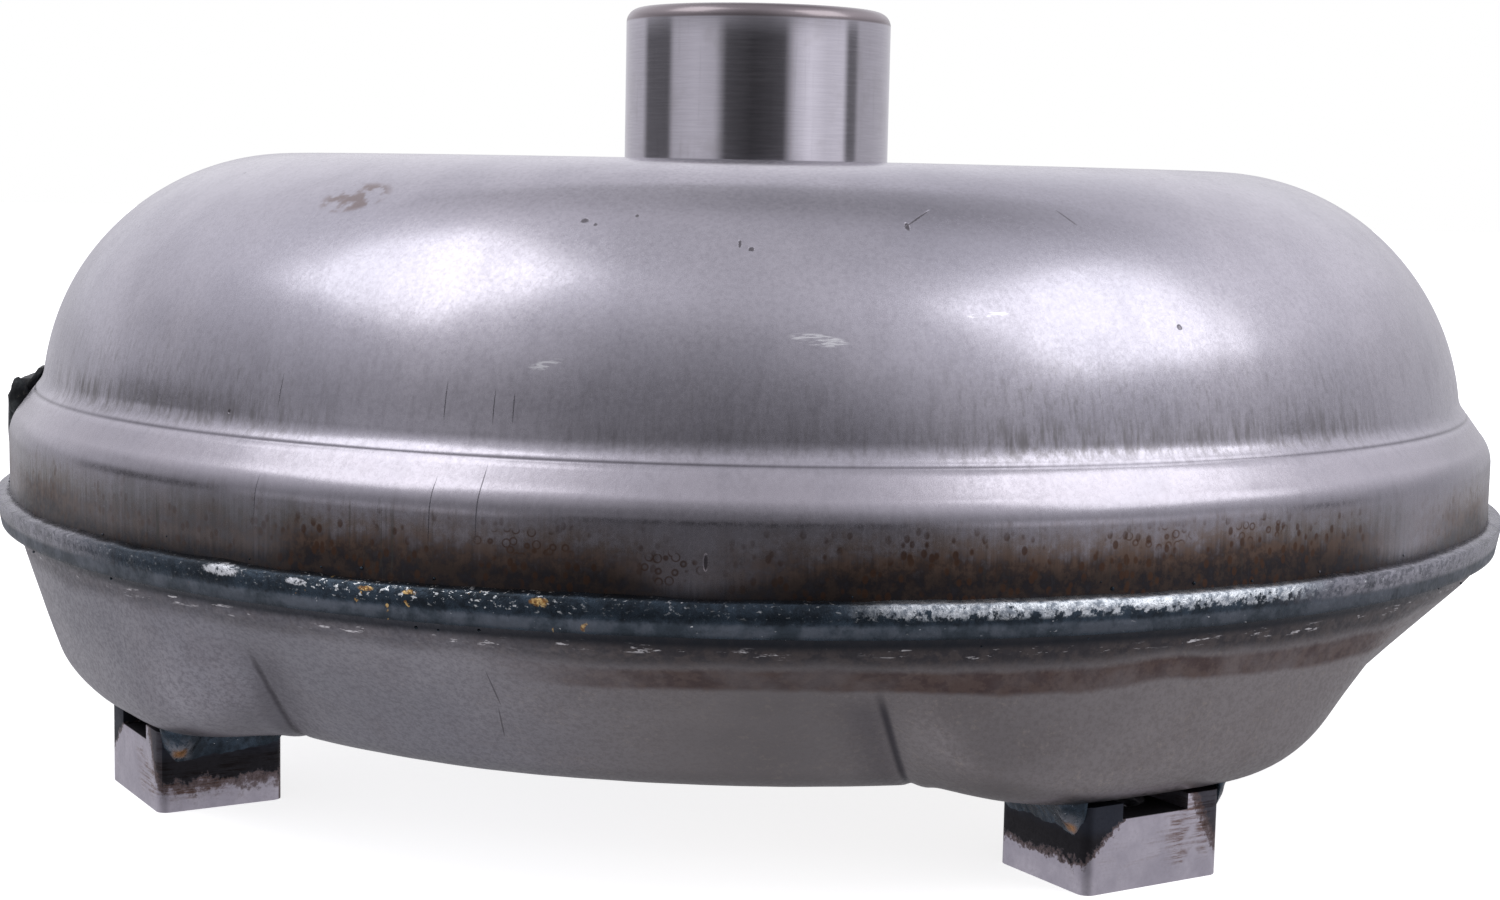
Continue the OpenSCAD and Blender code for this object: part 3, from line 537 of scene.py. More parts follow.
def weld_metal():
    """Dark blue-black weld with glossy ripples, gold and brown spots, white flecks, and painted highlights on the
    ridge: one bright stretch and white glints.
    """
    f = Finish("weld_metal", metallic=0.8)
    cloud = f.noise(6, 4, 0.65)
    fine = f.noise(1.1, 4, 0.7)
    flecky = f.noise(0.8, 3, 0.6, stretch=(1, 1, 1.6))
    colour = f.mix(f.ramp(cloud, 0.38, 0.62), srgb(34, 42, 50), srgb(54, 66, 78))
    colour = f.mix(f.ramp(fine, 0.45, 0.7, 0.0, 0.6), colour, srgb(24, 28, 33))
    # under the closure weld's ridge its flank is a smoother blue-grey
    flank = f.band(f.plus(f.z, f.times(fine, 0.8)), 42.3, 43.9, 0.35)
    colour = f.mix(f.times(flank, f.ramp(cloud, 0.35, 0.6, 0.5, 0.8)), colour, f.mix(f.ramp(cloud, 0.4, 0.6), srgb(70, 80, 90), srgb(94, 100, 110)))
    ridge = f.band(f.z, 44.3, 46.8, 0.3)
    pale = f.times(f.plus(angle_window(f, -68, 14, 12), angle_window(f, 62, 18, 12)), f.ramp(cloud, 0.3, 0.55, 0.5, 1.0), f.ramp(f.z, 43.2, 44.2))
    colour = f.mix(f.math("MINIMUM", f.times(pale, 0.85), 0.85), colour, f.mix(f.ramp(fine, 0.4, 0.6), srgb(104, 104, 112), srgb(150, 149, 158)))
    # painted highlight: a bright stretch along the ridge, right of the middle
    bright = f.times(angle_window(f, 22, 12, 5), f.ramp(f.plus(f.noise(1.4, 4, 0.7), f.times(f.z, 0.10), -4.5), 0.42, 0.52), ridge)
    colour = f.mix(f.times(bright, 0.85), colour, f.mix(f.ramp(fine, 0.4, 0.62), srgb(206, 211, 216), srgb(128, 136, 146)))
    # painted highlights: white patches on the ridge to the left
    left = f.times(f.plus(f.mark((-33.4, 131.2, 45.8), 4.0, 0.9, ragged=0.9), f.mark((-27.5, 131.2, 45.6), 1.8, 0.6, ragged=0.9)), f.ramp(f.noise(0.8, 4, 0.75), 0.38, 0.5))
    colour = f.mix(f.times(left, 0.9), colour, srgb(214, 217, 222))
    # painted highlights: white glints along the ridge, most of them left of the middle
    beads = f.times(f.plus(angle_window(f, -19, 6, 4), 0.25), ridge, f.ramp(flecky, 0.60, 0.66))
    colour = f.mix(f.math("MINIMUM", beads, 1.0), colour, srgb(208, 212, 214))
    # where a lug weld was stopped it is golden, with a painted highlight round the knob
    outward, sideways, across = lug_axes(f)
    knob_highlight = f.times(f.band(across, LUG_W / 2, LUG_W / 2 + 3.5, 0.4), f.band(f.z, 7.6, 11.6, 1.2), f.band(outward, LUG_R + 5.6, LUG_R + 9.2, 1.2))
    colour = f.mix(f.times(knob_highlight, f.ramp(fine, 0.35, 0.55), 0.45), colour, srgb(150, 152, 160))
    core = f.times(f.band(across, LUG_W / 2, LUG_W / 2 + 3.5, 0.4), f.band(f.plus(f.z, f.times(fine, 1.5)), 9.6, 11.0, 0.5), f.band(outward, LUG_R + 6.2, LUG_R + 8.0, 0.5))
    colour = f.mix(f.times(core, 0.8), colour, srgb(158, 112, 66))
    gold = f.plus(f.mark((-11.8, 131.3, 45.6), 1.5, 0.7, ragged=1.2), f.mark((-22.6, 131.3, 45.7), 1.5, 0.4, ragged=1.2),
                  f.mark((-19.7, 131.3, 45.7), 1.3, 0.4, ragged=1.2),
                  f.times(f.mark((-22.6, 131.3, 45.2), 40.0, 30.0), f.ramp(f.noise(1.8, 2), 0.70, 0.73)))
    colour = f.mix(f.math("MINIMUM", f.times(gold, f.ramp(fine, 0.36, 0.5), 0.9), 0.9), colour, f.mix(f.ramp(f.noise(0.6, 4, 0.7), 0.42, 0.6), srgb(128, 88, 44), srgb(226, 192, 128)))
    flecks = f.times(f.ramp(flecky, 0.70, 0.73), f.ramp(f.noise(9, 2), 0.45, 0.55))
    colour = f.mix(f.times(flecks, 0.9), colour, srgb(214, 216, 220))
    roughness = f.plus(f.ramp(fine, 0.3, 0.7, 0.20, 0.36), f.times(flank, 0.16), f.times(bright, -0.02))
    f.bump(fine, 0.12)
    f.bump(f.noise(0.6, 2, 0.6, stretch=(1, 1, 0.6)), 0.05)
    return f.done(colour, roughness)


def ground_steel():
    """The pump hub's journal: ground and polished, with very fine lines round the axis."""
    f = Finish("ground_steel")
    lines = f.noise(0.30, 3, 0.7, stretch=(0.04, 0.04, 1))
    faint = f.noise(0.9, 3, 0.6, stretch=(1, 1, 0.05))
    cloud = f.noise(6, 3, 0.6)
    colour = f.mix(f.ramp(lines, 0.3, 0.7), srgb(192, 189, 197), srgb(201, 198, 206))
    colour = f.mix(f.ramp(faint, 0.55, 0.75, 0.0, 0.2), colour, srgb(162, 160, 166))
    colour = f.mix(f.ramp(cloud, 0.5, 0.7, 0.0, 0.2), colour, srgb(172, 168, 170))
    rim = f.ramp(f.z, HUB_TOP - 2.6, HUB_TOP - 2.2)
    colour = f.mix(f.times(rim, 0.85), colour, srgb(128, 118, 120))
    f.bump(lines, 0.0005)
    return f.done(colour, f.plus(f.ramp(lines, 0.3, 0.7, 0.08, 0.12), f.ramp(cloud, 0.5, 0.7, 0.0, 0.03), f.times(rim, 0.14)))


def lug_steel():
    """Bare block: pale brushed ends with brown scuffs, and soot and blue tint beside the welds."""
    f = Finish("lug_steel")
    outward, sideways, across = lug_axes(f)
    cloud = f.noise(4, 4, 0.65)
    grain = f.noise(0.5, 3, 0.7)
    fine = f.noise(1.0, 4, 0.7)
    brushed = f.noise(1.0, 5, 0.75, stretch=(0.15, 0.15, 2.2))
    colour = f.mix(f.ramp(cloud, 0.35, 0.65), srgb(188, 183, 194), srgb(206, 201, 211))
    colour = f.mix(f.ramp(grain, 0.4, 0.7, 0.0, 0.25), colour, srgb(158, 153, 163))
    # brown scuffs across the right-hand half of the outer face
    scuffed = f.plus(f.ramp(sideways, -2.0, 7.0), f.times(f.ramp(cloud, 0.4, 0.6), 0.4), -0.2)
    scuff = f.times(f.ramp(brushed, 0.45, 0.60), scuffed, f.ramp(f.noise(6, 3, 0.6), 0.38, 0.55), f.ramp(f.plus(f.z, f.times(cloud, 4.0)), 3.0, 6.0))
    colour = f.mix(f.math("MINIMUM", f.times(scuff, 0.8), 0.8), colour, srgb(116, 88, 74))
    # soot: on the welded sides down to a ragged line, and over the end's top corners
    ragged = f.plus(f.times(cloud, 3.0), f.times(fine, 3.4), -3.2)
    side = f.ramp(across, LUG_W / 2 - 0.7, LUG_W / 2 - 0.35)
    lower = f.ramp(f.plus(f.z, ragged), 3.4, 5.2)
    left = f.ramp(f.plus(f.z, ragged, f.times(sideways, -0.85)), 15.0, 16.4)
    rightmost = f.times(f.ramp(f.plus(sideways, f.times(f.z, 0.5), ragged), 12.5, 15.0), f.ramp(f.plus(f.z, ragged), 2.0, 6.0, 0.1, 0.9))
    inner = f.ramp(outward, LUG_R - LUG_LEN / 2 + 1.0, LUG_R - LUG_LEN / 2 + 0.2, 0.0, 0.7)
    soot = f.math("MAXIMUM", f.times(side, lower), f.math("MAXIMUM", f.math("MAXIMUM", left, rightmost), inner))
    dark = f.mix(f.ramp(f.plus(f.z, f.times(cloud, 3.0)), 9.0, 11.5), srgb(26, 26, 28), srgb(44, 50, 60))
    edge_brown = f.times(f.ramp(soot, 0.02, 0.35), f.ramp(soot, 0.65, 0.98, 1.0, 0.0))
    colour = f.mix(f.times(soot, 0.95), colour, dark)
    colour = f.mix(f.times(edge_brown, 0.6), colour, srgb(92, 68, 56))
    # painted shade: the inside of the channel made black
    channel_shade = f.times(f.ramp(f.z, LUG_H - CHANNEL_DEPTH - 0.15, LUG_H - CHANNEL_DEPTH + 0.05),
                      f.ramp(across, CHANNEL_W / 2 - 0.15, CHANNEL_W / 2 + 0.1, 1.0, 0.0))
    colour = f.mix(channel_shade, colour, (0.003, 0.003, 0.003, 1))
    roughness = f.plus(f.ramp(grain, 0.3, 0.7, 0.32, 0.42), f.times(soot, 0.2), f.times(channel_shade, 0.3))
    f.bump(grain, 0.02)
    f.bump(brushed, 0.01)
    return f.done(colour, roughness)


def blackened_steel():
    """Steel burnt black by tack welding, with a crust of scale."""
    f = Finish("blackened_steel", metallic=0.6)
    crust = f.noise(1.4, 4, 0.75)
    cloud = f.noise(5, 3, 0.6)
    colour = f.mix(f.ramp(cloud, 0.4, 0.6), srgb(34, 36, 38), srgb(58, 62, 64))
    colour = f.mix(f.ramp(crust, 0.6, 0.7, 0.0, 0.6), colour, srgb(112, 108, 100))
    f.bump(crust, 0.2)
    return f.done(colour, f.ramp(crust, 0.3, 0.7, 0.42, 0.62))


def turned_steel(name, pale, deep, polish):
    """Steel cut on a lathe or rolled: fine rings round the axis over faint cloud."""
    f = Finish(name)
    rings = f.noise(0.5, 3, 0.7, stretch=(0.03, 0.03, 1))
    radial = f.math("SINE", f.times(f.vector("LENGTH", f.vector("MULTIPLY", f.place, (1, 1, 0))), 9.0))
    cloud = f.noise(9, 4, 0.6)
    colour = f.mix(f.ramp(f.plus(rings, f.times(radial, 0.06)), 0.35, 0.65), srgb(*pale), srgb(*deep))
    colour = f.mix(f.ramp(cloud, 0.5, 0.75, 0.0, 0.4), colour, srgb(*(0.75 * c for c in deep)))
    f.bump(rings, 0.015)
    f.bump(radial, 0.006)
    return f.done(colour, f.ramp(cloud, 0.3, 0.7, polish, polish + 0.12))


def sheet_steel(name, pale, deep, polish):
    """Rolled sheet or drawn strip, with oil staining and a fine grain."""
    f = Finish(name)
    cloud = f.noise(12, 4, 0.6)
    grain = f.noise(0.6, 3, 0.7, stretch=(1, 0.2, 1))
    stain = f.noise(5, 4, 0.7, twist=0.5)
    colour = f.mix(f.ramp(cloud, 0.35, 0.65), srgb(*pale), srgb(*deep))
    colour = f.mix(f.ramp(stain, 0.56, 0.66, 0.0, 0.5), colour, srgb(110, 98, 84))
    f.bump(grain, 0.02)
    return f.done(colour, f.ramp(grain, 0.3, 0.7, polish, polish + 0.12))


def cast_aluminium():
    """Die-cast aluminium: fine sandy skin with darker flow marks."""
    f = Finish("cast_aluminium")
    skin = f.noise(0.9, 4, 0.7)
    flow = f.noise(14, 3, 0.6, twist=1.0)
    colour = f.mix(f.ramp(flow, 0.35, 0.65), srgb(182, 184, 187), srgb(160, 162, 166))
    colour = f.mix(f.ramp(skin, 0.5, 0.7, 0.0, 0.35), colour, srgb(128, 130, 134))
    f.bump(skin, 0.06)
    return f.done(colour, f.ramp(skin, 0.3, 0.7, 0.38, 0.52))


def friction_paper():
    """Bonded paper lining: matt brown with pale fibres."""
    f = Finish("friction_paper", metallic=0.0)
    fibre = f.noise(1.2, 5, 0.75, stretch=(1, 2.5, 1), twist=1.5)
    cloud = f.noise(8, 3, 0.6)
    colour = f.mix(f.ramp(cloud, 0.35, 0.65), srgb(122, 98, 70), srgb(102, 80, 58))
    colour = f.mix(f.ramp(fibre, 0.55, 0.65, 0.0, 0.6), colour, srgb(160, 138, 106))
    f.bump(fibre, 0.08)
    return f.done(colour, f.ramp(fibre, 0.3, 0.7, 0.82, 0.95))


def seal_plastic():
    """Moulded seal ring: near-black with a faint flow texture."""
    f = Finish("seal_plastic", metallic=0.0)
    flow = f.noise(2, 4, 0.6, stretch=(0.4, 0.4, 2))
    colour = f.mix(f.ramp(flow, 0.35, 0.65), srgb(40, 40, 42), srgb(58, 57, 56))
    f.bump(flow, 0.02)
    return f.done(colour, f.ramp(flow, 0.3, 0.7, 0.45, 0.6))


SHELL, COVER, WELD, GROUND, LUG, BLACK = (
    shell_steel(), cover_steel(), weld_metal(), ground_steel(), lug_steel(), blackened_steel()
)
SLOT_FINISH = {
    "pressed_steel": SHELL,
    "weld_metal": WELD,
    "ground_steel": GROUND,
    "lug_steel": LUG,
    "blackened_steel": BLACK,
    "bearing_steel": turned_steel("bearing_steel", (206, 207, 210), (190, 190, 194), 0.16),
    "machined_steel": turned_steel("machined_steel", (180, 180, 184), (160, 160, 165), 0.30),
    "cage_steel": sheet_steel("cage_steel", (140, 141, 146), (120, 120, 126), 0.40),
    "sheet_steel": sheet_steel("sheet_steel", (160, 161, 165), (142, 142, 147), 0.34),
    "spring_steel": sheet_steel("spring_steel", (96, 98, 108), (78, 80, 90), 0.30),
    "cast_aluminium": cast_aluminium(),
    "seal_plastic": seal_plastic(),
    "friction_paper": friction_paper(),
}


def finish_piece(piece, material, slot, *nodes):
    piece.data.materials.clear()
    piece.data.materials.append(material)
    if nodes:
        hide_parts(*nodes)
    return piece


# ---- rear shell and hub ----------------------------------------------------------------------------


def shell_outline(inset):
    """The rear shell's meridian, inset from its outer face, from the web's inner edge to the skirt."""
    reach = math.sqrt((TUBE_R + WEB_ROUND) ** 2 - (WEB_Z + WEB_ROUND - TORUS_Z) ** 2)
    web_r = TORUS_R - reach
    meet = math.degrees(math.atan2(WEB_Z + WEB_ROUND - TORUS_Z, -reach))
    neck_turn = math.asin((NECK_Z - TORUS_Z) / TUBE_R)
    neck_centre = np.array([TORUS_R, TORUS_Z]) + (TUBE_R + NECK_ROUND) * np.array([math.cos(neck_turn), math.sin(neck_turn)])
    neck_turn = math.degrees(neck_turn)
    # a fine fold runs round where the hollow neck meets the shoulder's slope
    neck_end = neck_centre + (NECK_ROUND + inset) * np.array([math.cos(math.radians(225)), math.sin(math.radians(225))])
    shoulder = np.array([SKIRT_R - SHOULDER_ROUND, SHOULDER_Z]) + (SHOULDER_ROUND - inset) * math.sqrt(0.5)
    slope = (shoulder - neck_end) / np.linalg.norm(shoulder - neck_end)
    across = np.array([-slope[1], slope[0]])
    return np.vstack([
        arc((web_r, WEB_Z + WEB_ROUND), WEB_ROUND + inset, -90, meet - 180, 12),
        arc((TORUS_R, TORUS_Z), TUBE_R - inset, meet - 3, neck_turn, 90),
        arc(neck_centre, NECK_ROUND + inset, 184 + neck_turn, 224, 10),
        neck_end + np.outer([0.25, 0.5, 0.8], slope) - np.outer([0.06, 0.13, 0.0] if not inset else [0, 0, 0], across),
        arc((SKIRT_R - SHOULDER_ROUND, SHOULDER_Z), SHOULDER_ROUND - inset, 43, 0, 12),
    ])


def rear_shell():
    outer = spaced(np.vstack([[[HUB_FLANGE_R + 0.05, WEB_Z]], shell_outline(0), [[SKIRT_R, WELD_Z + 1.5]]]), 1.2)
    inner = spaced(np.vstack([[[SKIRT_R - WALL, WELD_Z + 0.2]], shell_outline(WALL)[::-1],
                              [[HUB_FLANGE_R + 0.05, WEB_Z - WALL]]]), 4)
    segments = 720
    outline = np.vstack([outer, inner])
    points = turn(outline[:, :1], outline[:, 1:], angles(segments)[None])
    # the pressing is not perfectly true: shallow waves, and flat facets round the skirt from the draw
    lumps = Lumps(3)
    wave = 0.12 * lumps(points, 38, 2) + 0.035 * lumps(points * (1, 1, 0.15), 6)
    shown = np.arange(len(outline))[:, None] < len(outer) - 3
    flat = points * (1, 1, 0)
    outward = flat / np.linalg.norm(flat, axis=-1, keepdims=True)
    points = points + outward * np.where(shown, wave, 0)[..., None] * np.clip((points[..., :1] ** 2 + points[..., 1:2] ** 2) / 1e4, 0, 1)
    piece = add_piece("rear_shell_skin", points.reshape(-1, 3), grid_faces(len(outline), segments))
    return finish_piece(piece, SHELL, "pressed_steel", "rear_shell")


def pump_hub():
    edge = 2.5
    outline = np.vstack([
        [[HUB_BORE_R, HUB_FLANGE_Z[0]], [HUB_FLANGE_R, HUB_FLANGE_Z[0]]],
        arc((HUB_FLANGE_R - 0.6, HUB_FLANGE_Z[1] - 0.6), 0.6, 0, 90, 4),
        arc((HUB_R + 3, HUB_FLANGE_Z[1] + 3), 3, 270, 180, 8),
        arc((HUB_R - edge, HUB_TOP - edge), edge, 0, 90, 12),
        [[HUB_BORE_R + 1.0, HUB_TOP], [HUB_BORE_R, HUB_TOP - 1.0]],
    ])
    piece = lathe("pump_hub_skin", outline, segments=256, step=4)
    reach = KEYWAY_R
    cut(piece, [box_cutter((-reach, -KEYWAY_W / 2, KEYWAY_Z), (reach, KEYWAY_W / 2, HUB_TOP + 1))])
    crease(piece, 32)
    return finish_piece(piece, GROUND, "ground_steel", "pump_hub")


def crank_pilot():
    outline = np.array([
        [0.02, PILOT_END + 2], [6, PILOT_END + 2], [8, PILOT_END], [PILOT_R - 1.2, PILOT_END],
        [PILOT_R, PILOT_END + 1.2], [PILOT_R, JOURNAL_TOP - 0.4], [PILOT_R - RELIEF, JOURNAL_TOP],
        [PILOT_R - RELIEF, CENTRE_Z - 0.05], [SPIGOT_R, CENTRE_Z - 0.05],
        [SPIGOT_R, CENTRE_Z + 4.5], [0.02, CENTRE_Z + 4.5],
    ])
    piece = lathe("crank_pilot_skin", outline, segments=192, step=2)
    crease(piece, 25)
    return finish_piece(piece, SLOT_FINISH["machined_steel"], "ground_steel", "crank_pilot")


# ---- front cover -----------------------------------------------------------------------------------

FLANK = 20.8  # from the crease to where the cover is full again
FLANK_POWER = 2.05
RIM = np.array([129.3, 41.4])


def full_profile():
    """The cover's meridian at a lug."""
    return np.vstack([[RIM], arc((111.3, PAD_Z + 12.2), 12.2, -19, -90, 24), [[74, PAD_Z]]])


def pressed_profile():
    """The cover's meridian midway between two lugs, where it is pressed in to a cone."""
    return np.vstack([[RIM], [[128.4, 38.6]], arc((98.3, DISH_Z + 15.4), 14.2, -43.1, -84, 24), [[74, DISH_Z]]])


def distance_along(profile, pivot, rays):
    """How far each ray from the pivot goes before it meets the profile."""
    profile = spaced(profile, 0.4) - pivot
    bearing = np.arctan2(profile[:, 1], profile[:, 0])
    order = np.argsort(bearing)
    return np.interp(rays, bearing[order], np.hypot(*profile.T)[order])


def front_cover():
    segments = 1440
    pivot = np.array([75.0, 45.0])
    rays = np.radians(np.linspace(-4.0, -88.5, 96))
    full = distance_along(full_profile(), pivot, rays)[:, None]
    pressed = distance_along(pressed_profile(), pivot, rays)[:, None]
    around = angles(segments)[None]
    from_lug = np.abs((around + np.pi / 4) % (np.pi / 2) - np.pi / 4)
    r_pressed = pivot[0] + pressed * np.cos(rays)[:, None]
    inside = r_pressed * np.cos(from_lug) * CREASE_RUN[1] - r_pressed * np.sin(from_lug) * CREASE_RUN[0] - CREASE_OFFSET
    soft = 0.7
    climb = 1 - (1 - np.clip((inside + np.sqrt(inside**2 + soft**2)) / 2 / FLANK, 0, 1)) ** FLANK_POWER
    reach = pressed + (full - pressed) * climb
    # a small step runs along the crease, sharper towards the dish
    depth = np.interp(np.degrees(-rays), [8, 30, 60, 80], [0, 0.18, 0.5, 0.2])[:, None]
    reach = reach - depth * np.exp(-(((inside + 0.2) / 0.8) ** 2)) + 0.5 * depth * np.exp(-(((inside - 1.8) / 0.9) ** 2))
    r = pivot[0] + reach * np.cos(rays)[:, None]
    z = pivot[1] + reach * np.sin(rays)[:, None]
    rim = np.array([[122.65, 52.4], [126.1, 52.4], [126.1, 44.2], [129.4, 41.9], [130.2, 41.8]])
    centre = spaced(np.array([[70, DISH_Z + 0.1], [60, 13.1], [57, 13.6], [49, 16.7], [46, CENTRE_Z], [SPIGOT_R + 0.05, CENTRE_Z]]), 3)
    inner = spaced(np.array([[SPIGOT_R + 0.05, 21.5], [48, 21.5], [58, 17.5], [98, 17.5], [104.9, 20.5], [122.6, 37.5]]), 6)

    def rings(outline):
        return turn(outline[:, :1], outline[:, 1:], around)

    outer = turn(r, z, around)
    lumps = Lumps(5)
    sway = 0.16 * lumps(outer, 30, 2) + 0.05 * lumps(outer, 7, 2)
    fade = np.interp(np.arange(len(rays)), [0, 6, 90, 95], [0, 1, 1, 0.3])[:, None]
    flat = outer * (1, 1, 0)
    outward = flat / np.linalg.norm(flat, axis=-1, keepdims=True)
    outer = outer + (outward * np.cos(rays)[:, None, None] + np.array([0, 0, 1.0]) * np.sin(rays)[:, None, None]) * (sway * fade)[..., None]
    points = np.concatenate([rings(rim), outer, rings(centre), rings(inner)])
    piece = add_piece("front_cover_skin", points.reshape(-1, 3), grid_faces(len(points), segments))
    return finish_piece(piece, COVER, "pressed_steel", "front_cover")


# ---- welds -----------------------------------------------------------------------------------------


def round_bead(name, start, end, bulge, pitch, seed, segments, nodes, wander=0.6, depth=2.0, flank=0.0):
    """A rippled weld bead round the axis, between two toes in the meridian, bulging to their left.

    The part of its width given by flank, from the first toe on, is lower and smooth.
    """
    rows = 30
    start, end = np.array(start, float), np.array(end, float)
    run = end - start
    side = np.array([-run[1], run[0]]) / np.linalg.norm(run)
    t = np.linspace(0, 1, rows)[:, None]
    around = angles(segments)[None]
    ring = turn(start[0], 0.0, around)
    lumps = Lumps(seed)
    toe = [wander * lumps(ring + 40 * k, 9, 3) for k in (1, 2)]
    height = bulge * (1 + 0.22 * lumps(ring, 16, 3) + 0.20 * lumps(ring + 90, 3.5, 2))
    width = np.linalg.norm(run)
    stretch = (-toe[0] * (1 - t) + toe[1] * t) / width
    along = around * start[0] + 2.2 * (2 * t - 1) ** 2 + 1.2 * t + 0.9 * lumps(ring, 7, 2)
    wave = (along / pitch) % 1
    crown = np.sin(np.pi * np.clip((t - flank) / (1 - flank), 0, 1)) ** (1.5 if flank else 0.75)
    skirt = 0.10 * np.clip(t / 0.1, 0, 1) ** 0.5 * np.clip((flank + 0.06 - t) / 0.06, 0, 1) if flank else 0.0
    ripple = 0.22 * (wave**1.6 - 0.4) * crown
    grain = 0.10 * lumps(turn(start[0], 0.0, around) + np.stack([0 * t, 0 * t, t * width], -1), 1.3, 2)
    rise = height * np.maximum(crown, skirt) + ripple + grain * crown
    r = start[0] + run[0] * (t + stretch) + side[0] * rise
    z = start[1] + run[1] * (t + stretch) + side[1] * rise
    back = np.array([end - side * depth, start - side * depth])
    points = np.concatenate([turn(r, z, around), turn(back[:, :1], back[:, 1:], around)])
    piece = add_piece(name, points.reshape(-1, 3), grid_faces(len(points), segments))
    return finish_piece(piece, WELD, "weld_metal", *nodes)


def closure_weld():
    start = (SKIRT_R - 0.25, WELD_Z + 2.9)
    end = (SKIRT_R - 1.1, WELD_Z - 1.7)
    return round_bead("closure_weld_bead", end, start, WELD_R - SKIRT_R + 0.6, 1.5, 11, 3600, ["closure_weld"],
                      wander=0.35, depth=2.6, flank=0.32)


def hub_weld():
    return round_bead("hub_weld_bead", (HUB_FLANGE_R + 3.2, WEB_Z - 0.1), (HUB_FLANGE_R - 3.0, HUB_FLANGE_Z[1] - 0.1),
                      1.3, 1.9, 12, 1100, ["hub_weld"], 0.35, 0.6)


def pilot_weld():
    return round_bead("pilot_weld_bead", (PILOT_R - RELIEF - 0.1, CENTRE_Z - 2.6), (PILOT_R - RELIEF + 2.7, CENTRE_Z + 0.1),
                      0.6, 1.7, 13, 800, ["pilot_weld"], 0.25, 0.4)


# ---- mounting lugs ---------------------------------------------------------------------------------


def to_lug(piece_points, number):
    """Points about a lug's own centre, x outward, moved to that lug's place."""
    turned = Matrix.Rotation(math.radians(90 * (number - 1)), 3, "Z")
    return np.asarray(piece_points) @ np.array(turned).T


def mounting_lug(number):
    corner = 1.7
    corners = [(x, y, a) for x, y, a in ((1, 1, 0), (-1, 1, 90), (-1, -1, 180), (1, -1, 270))]
    plan = np.vstack([
        arc((x * (LUG_LEN / 2 - corner), y * (LUG_W / 2 - corner)), corner, a, a + 90, 8) for x, y, a in corners
    ])
    bm = bmesh.new()
    base = bm.faces.new([bm.verts.new((LUG_R + x, y, 0)) for x, y in plan])
    top = bmesh.ops.extrude_face_region(bm, geom=[base])
    for v in (g for g in top["geom"] if isinstance(g, bmesh.types.BMVert)):
        v.co.z = LUG_H
    bmesh.ops.recalc_face_normals(bm, faces=bm.faces)
    mesh = bpy.data.meshes.new(f"mounting_lug_{number}_block")
    bm.to_mesh(mesh)
    bm.free()
    mesh.transform(Matrix.Scale(MM, 4))
    piece = bpy.data.objects.new(mesh.name, mesh)
    bpy.context.scene.collection.objects.link(piece)
    hole = 5.2
    cut(piece, [
        box_cutter((LUG_R - 20, -CHANNEL_W / 2, LUG_H - CHANNEL_DEPTH), (LUG_R + 20, CHANNEL_W / 2, LUG_H + 5)),
        round_cutter(LUG_R, 0, -1, LUG_H + 1, hole, hole),
        round_cutter(LUG_R, 0, -0.01, 0.9, hole + 0.9, hole),
    ])
    bevel = piece.modifiers.new("bevel", "BEVEL")
    bevel.width, bevel.segments, bevel.limit_method, bevel.angle_limit = 0.7 * MM, 3, "ANGLE", math.radians(40)
    bake(piece)
    piece.data.transform(Matrix.Rotation(math.radians(90 * (number - 1)), 4, "Z"))
    piece.data.shade_smooth()
    crease(piece, 30)
    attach(piece, HOUSING)
    return finish_piece(piece, LUG, "lug_steel", f"mounting_lug_{number}")


def lug_thread(number):
    """The tapped hole's wall: a helical thread inside a thin sleeve."""
    minor, major, outer, pitch = 4.25, 5.0, 5.2, 1.5
    columns, rows = 64, 96
    bottom, top = 0.9, LUG_H - CHANNEL_DEPTH
    around = angles(columns)[None]
    z = np.linspace(bottom, top, rows)[:, None]
    flank = np.abs(((z / pitch - around / (2 * np.pi)) % 1) * 2 - 1)
    wall = turn(minor + (major - minor) * np.clip(flank * 1.25 - 0.1, 0, 1), z, around)
    sleeve = turn(np.array([[outer - 0.02]] * 2), np.array([[top], [bottom]]), around)
    points = np.concatenate([wall, sleeve]).reshape(-1, 3) + (LUG_R, 0, 0)
    piece = add_piece(f"lug_{number}_thread", to_lug(points, number), grid_faces(rows + 2, columns))
    return finish_piece(piece, SLOT_FINISH["machined_steel"], "lug_steel")


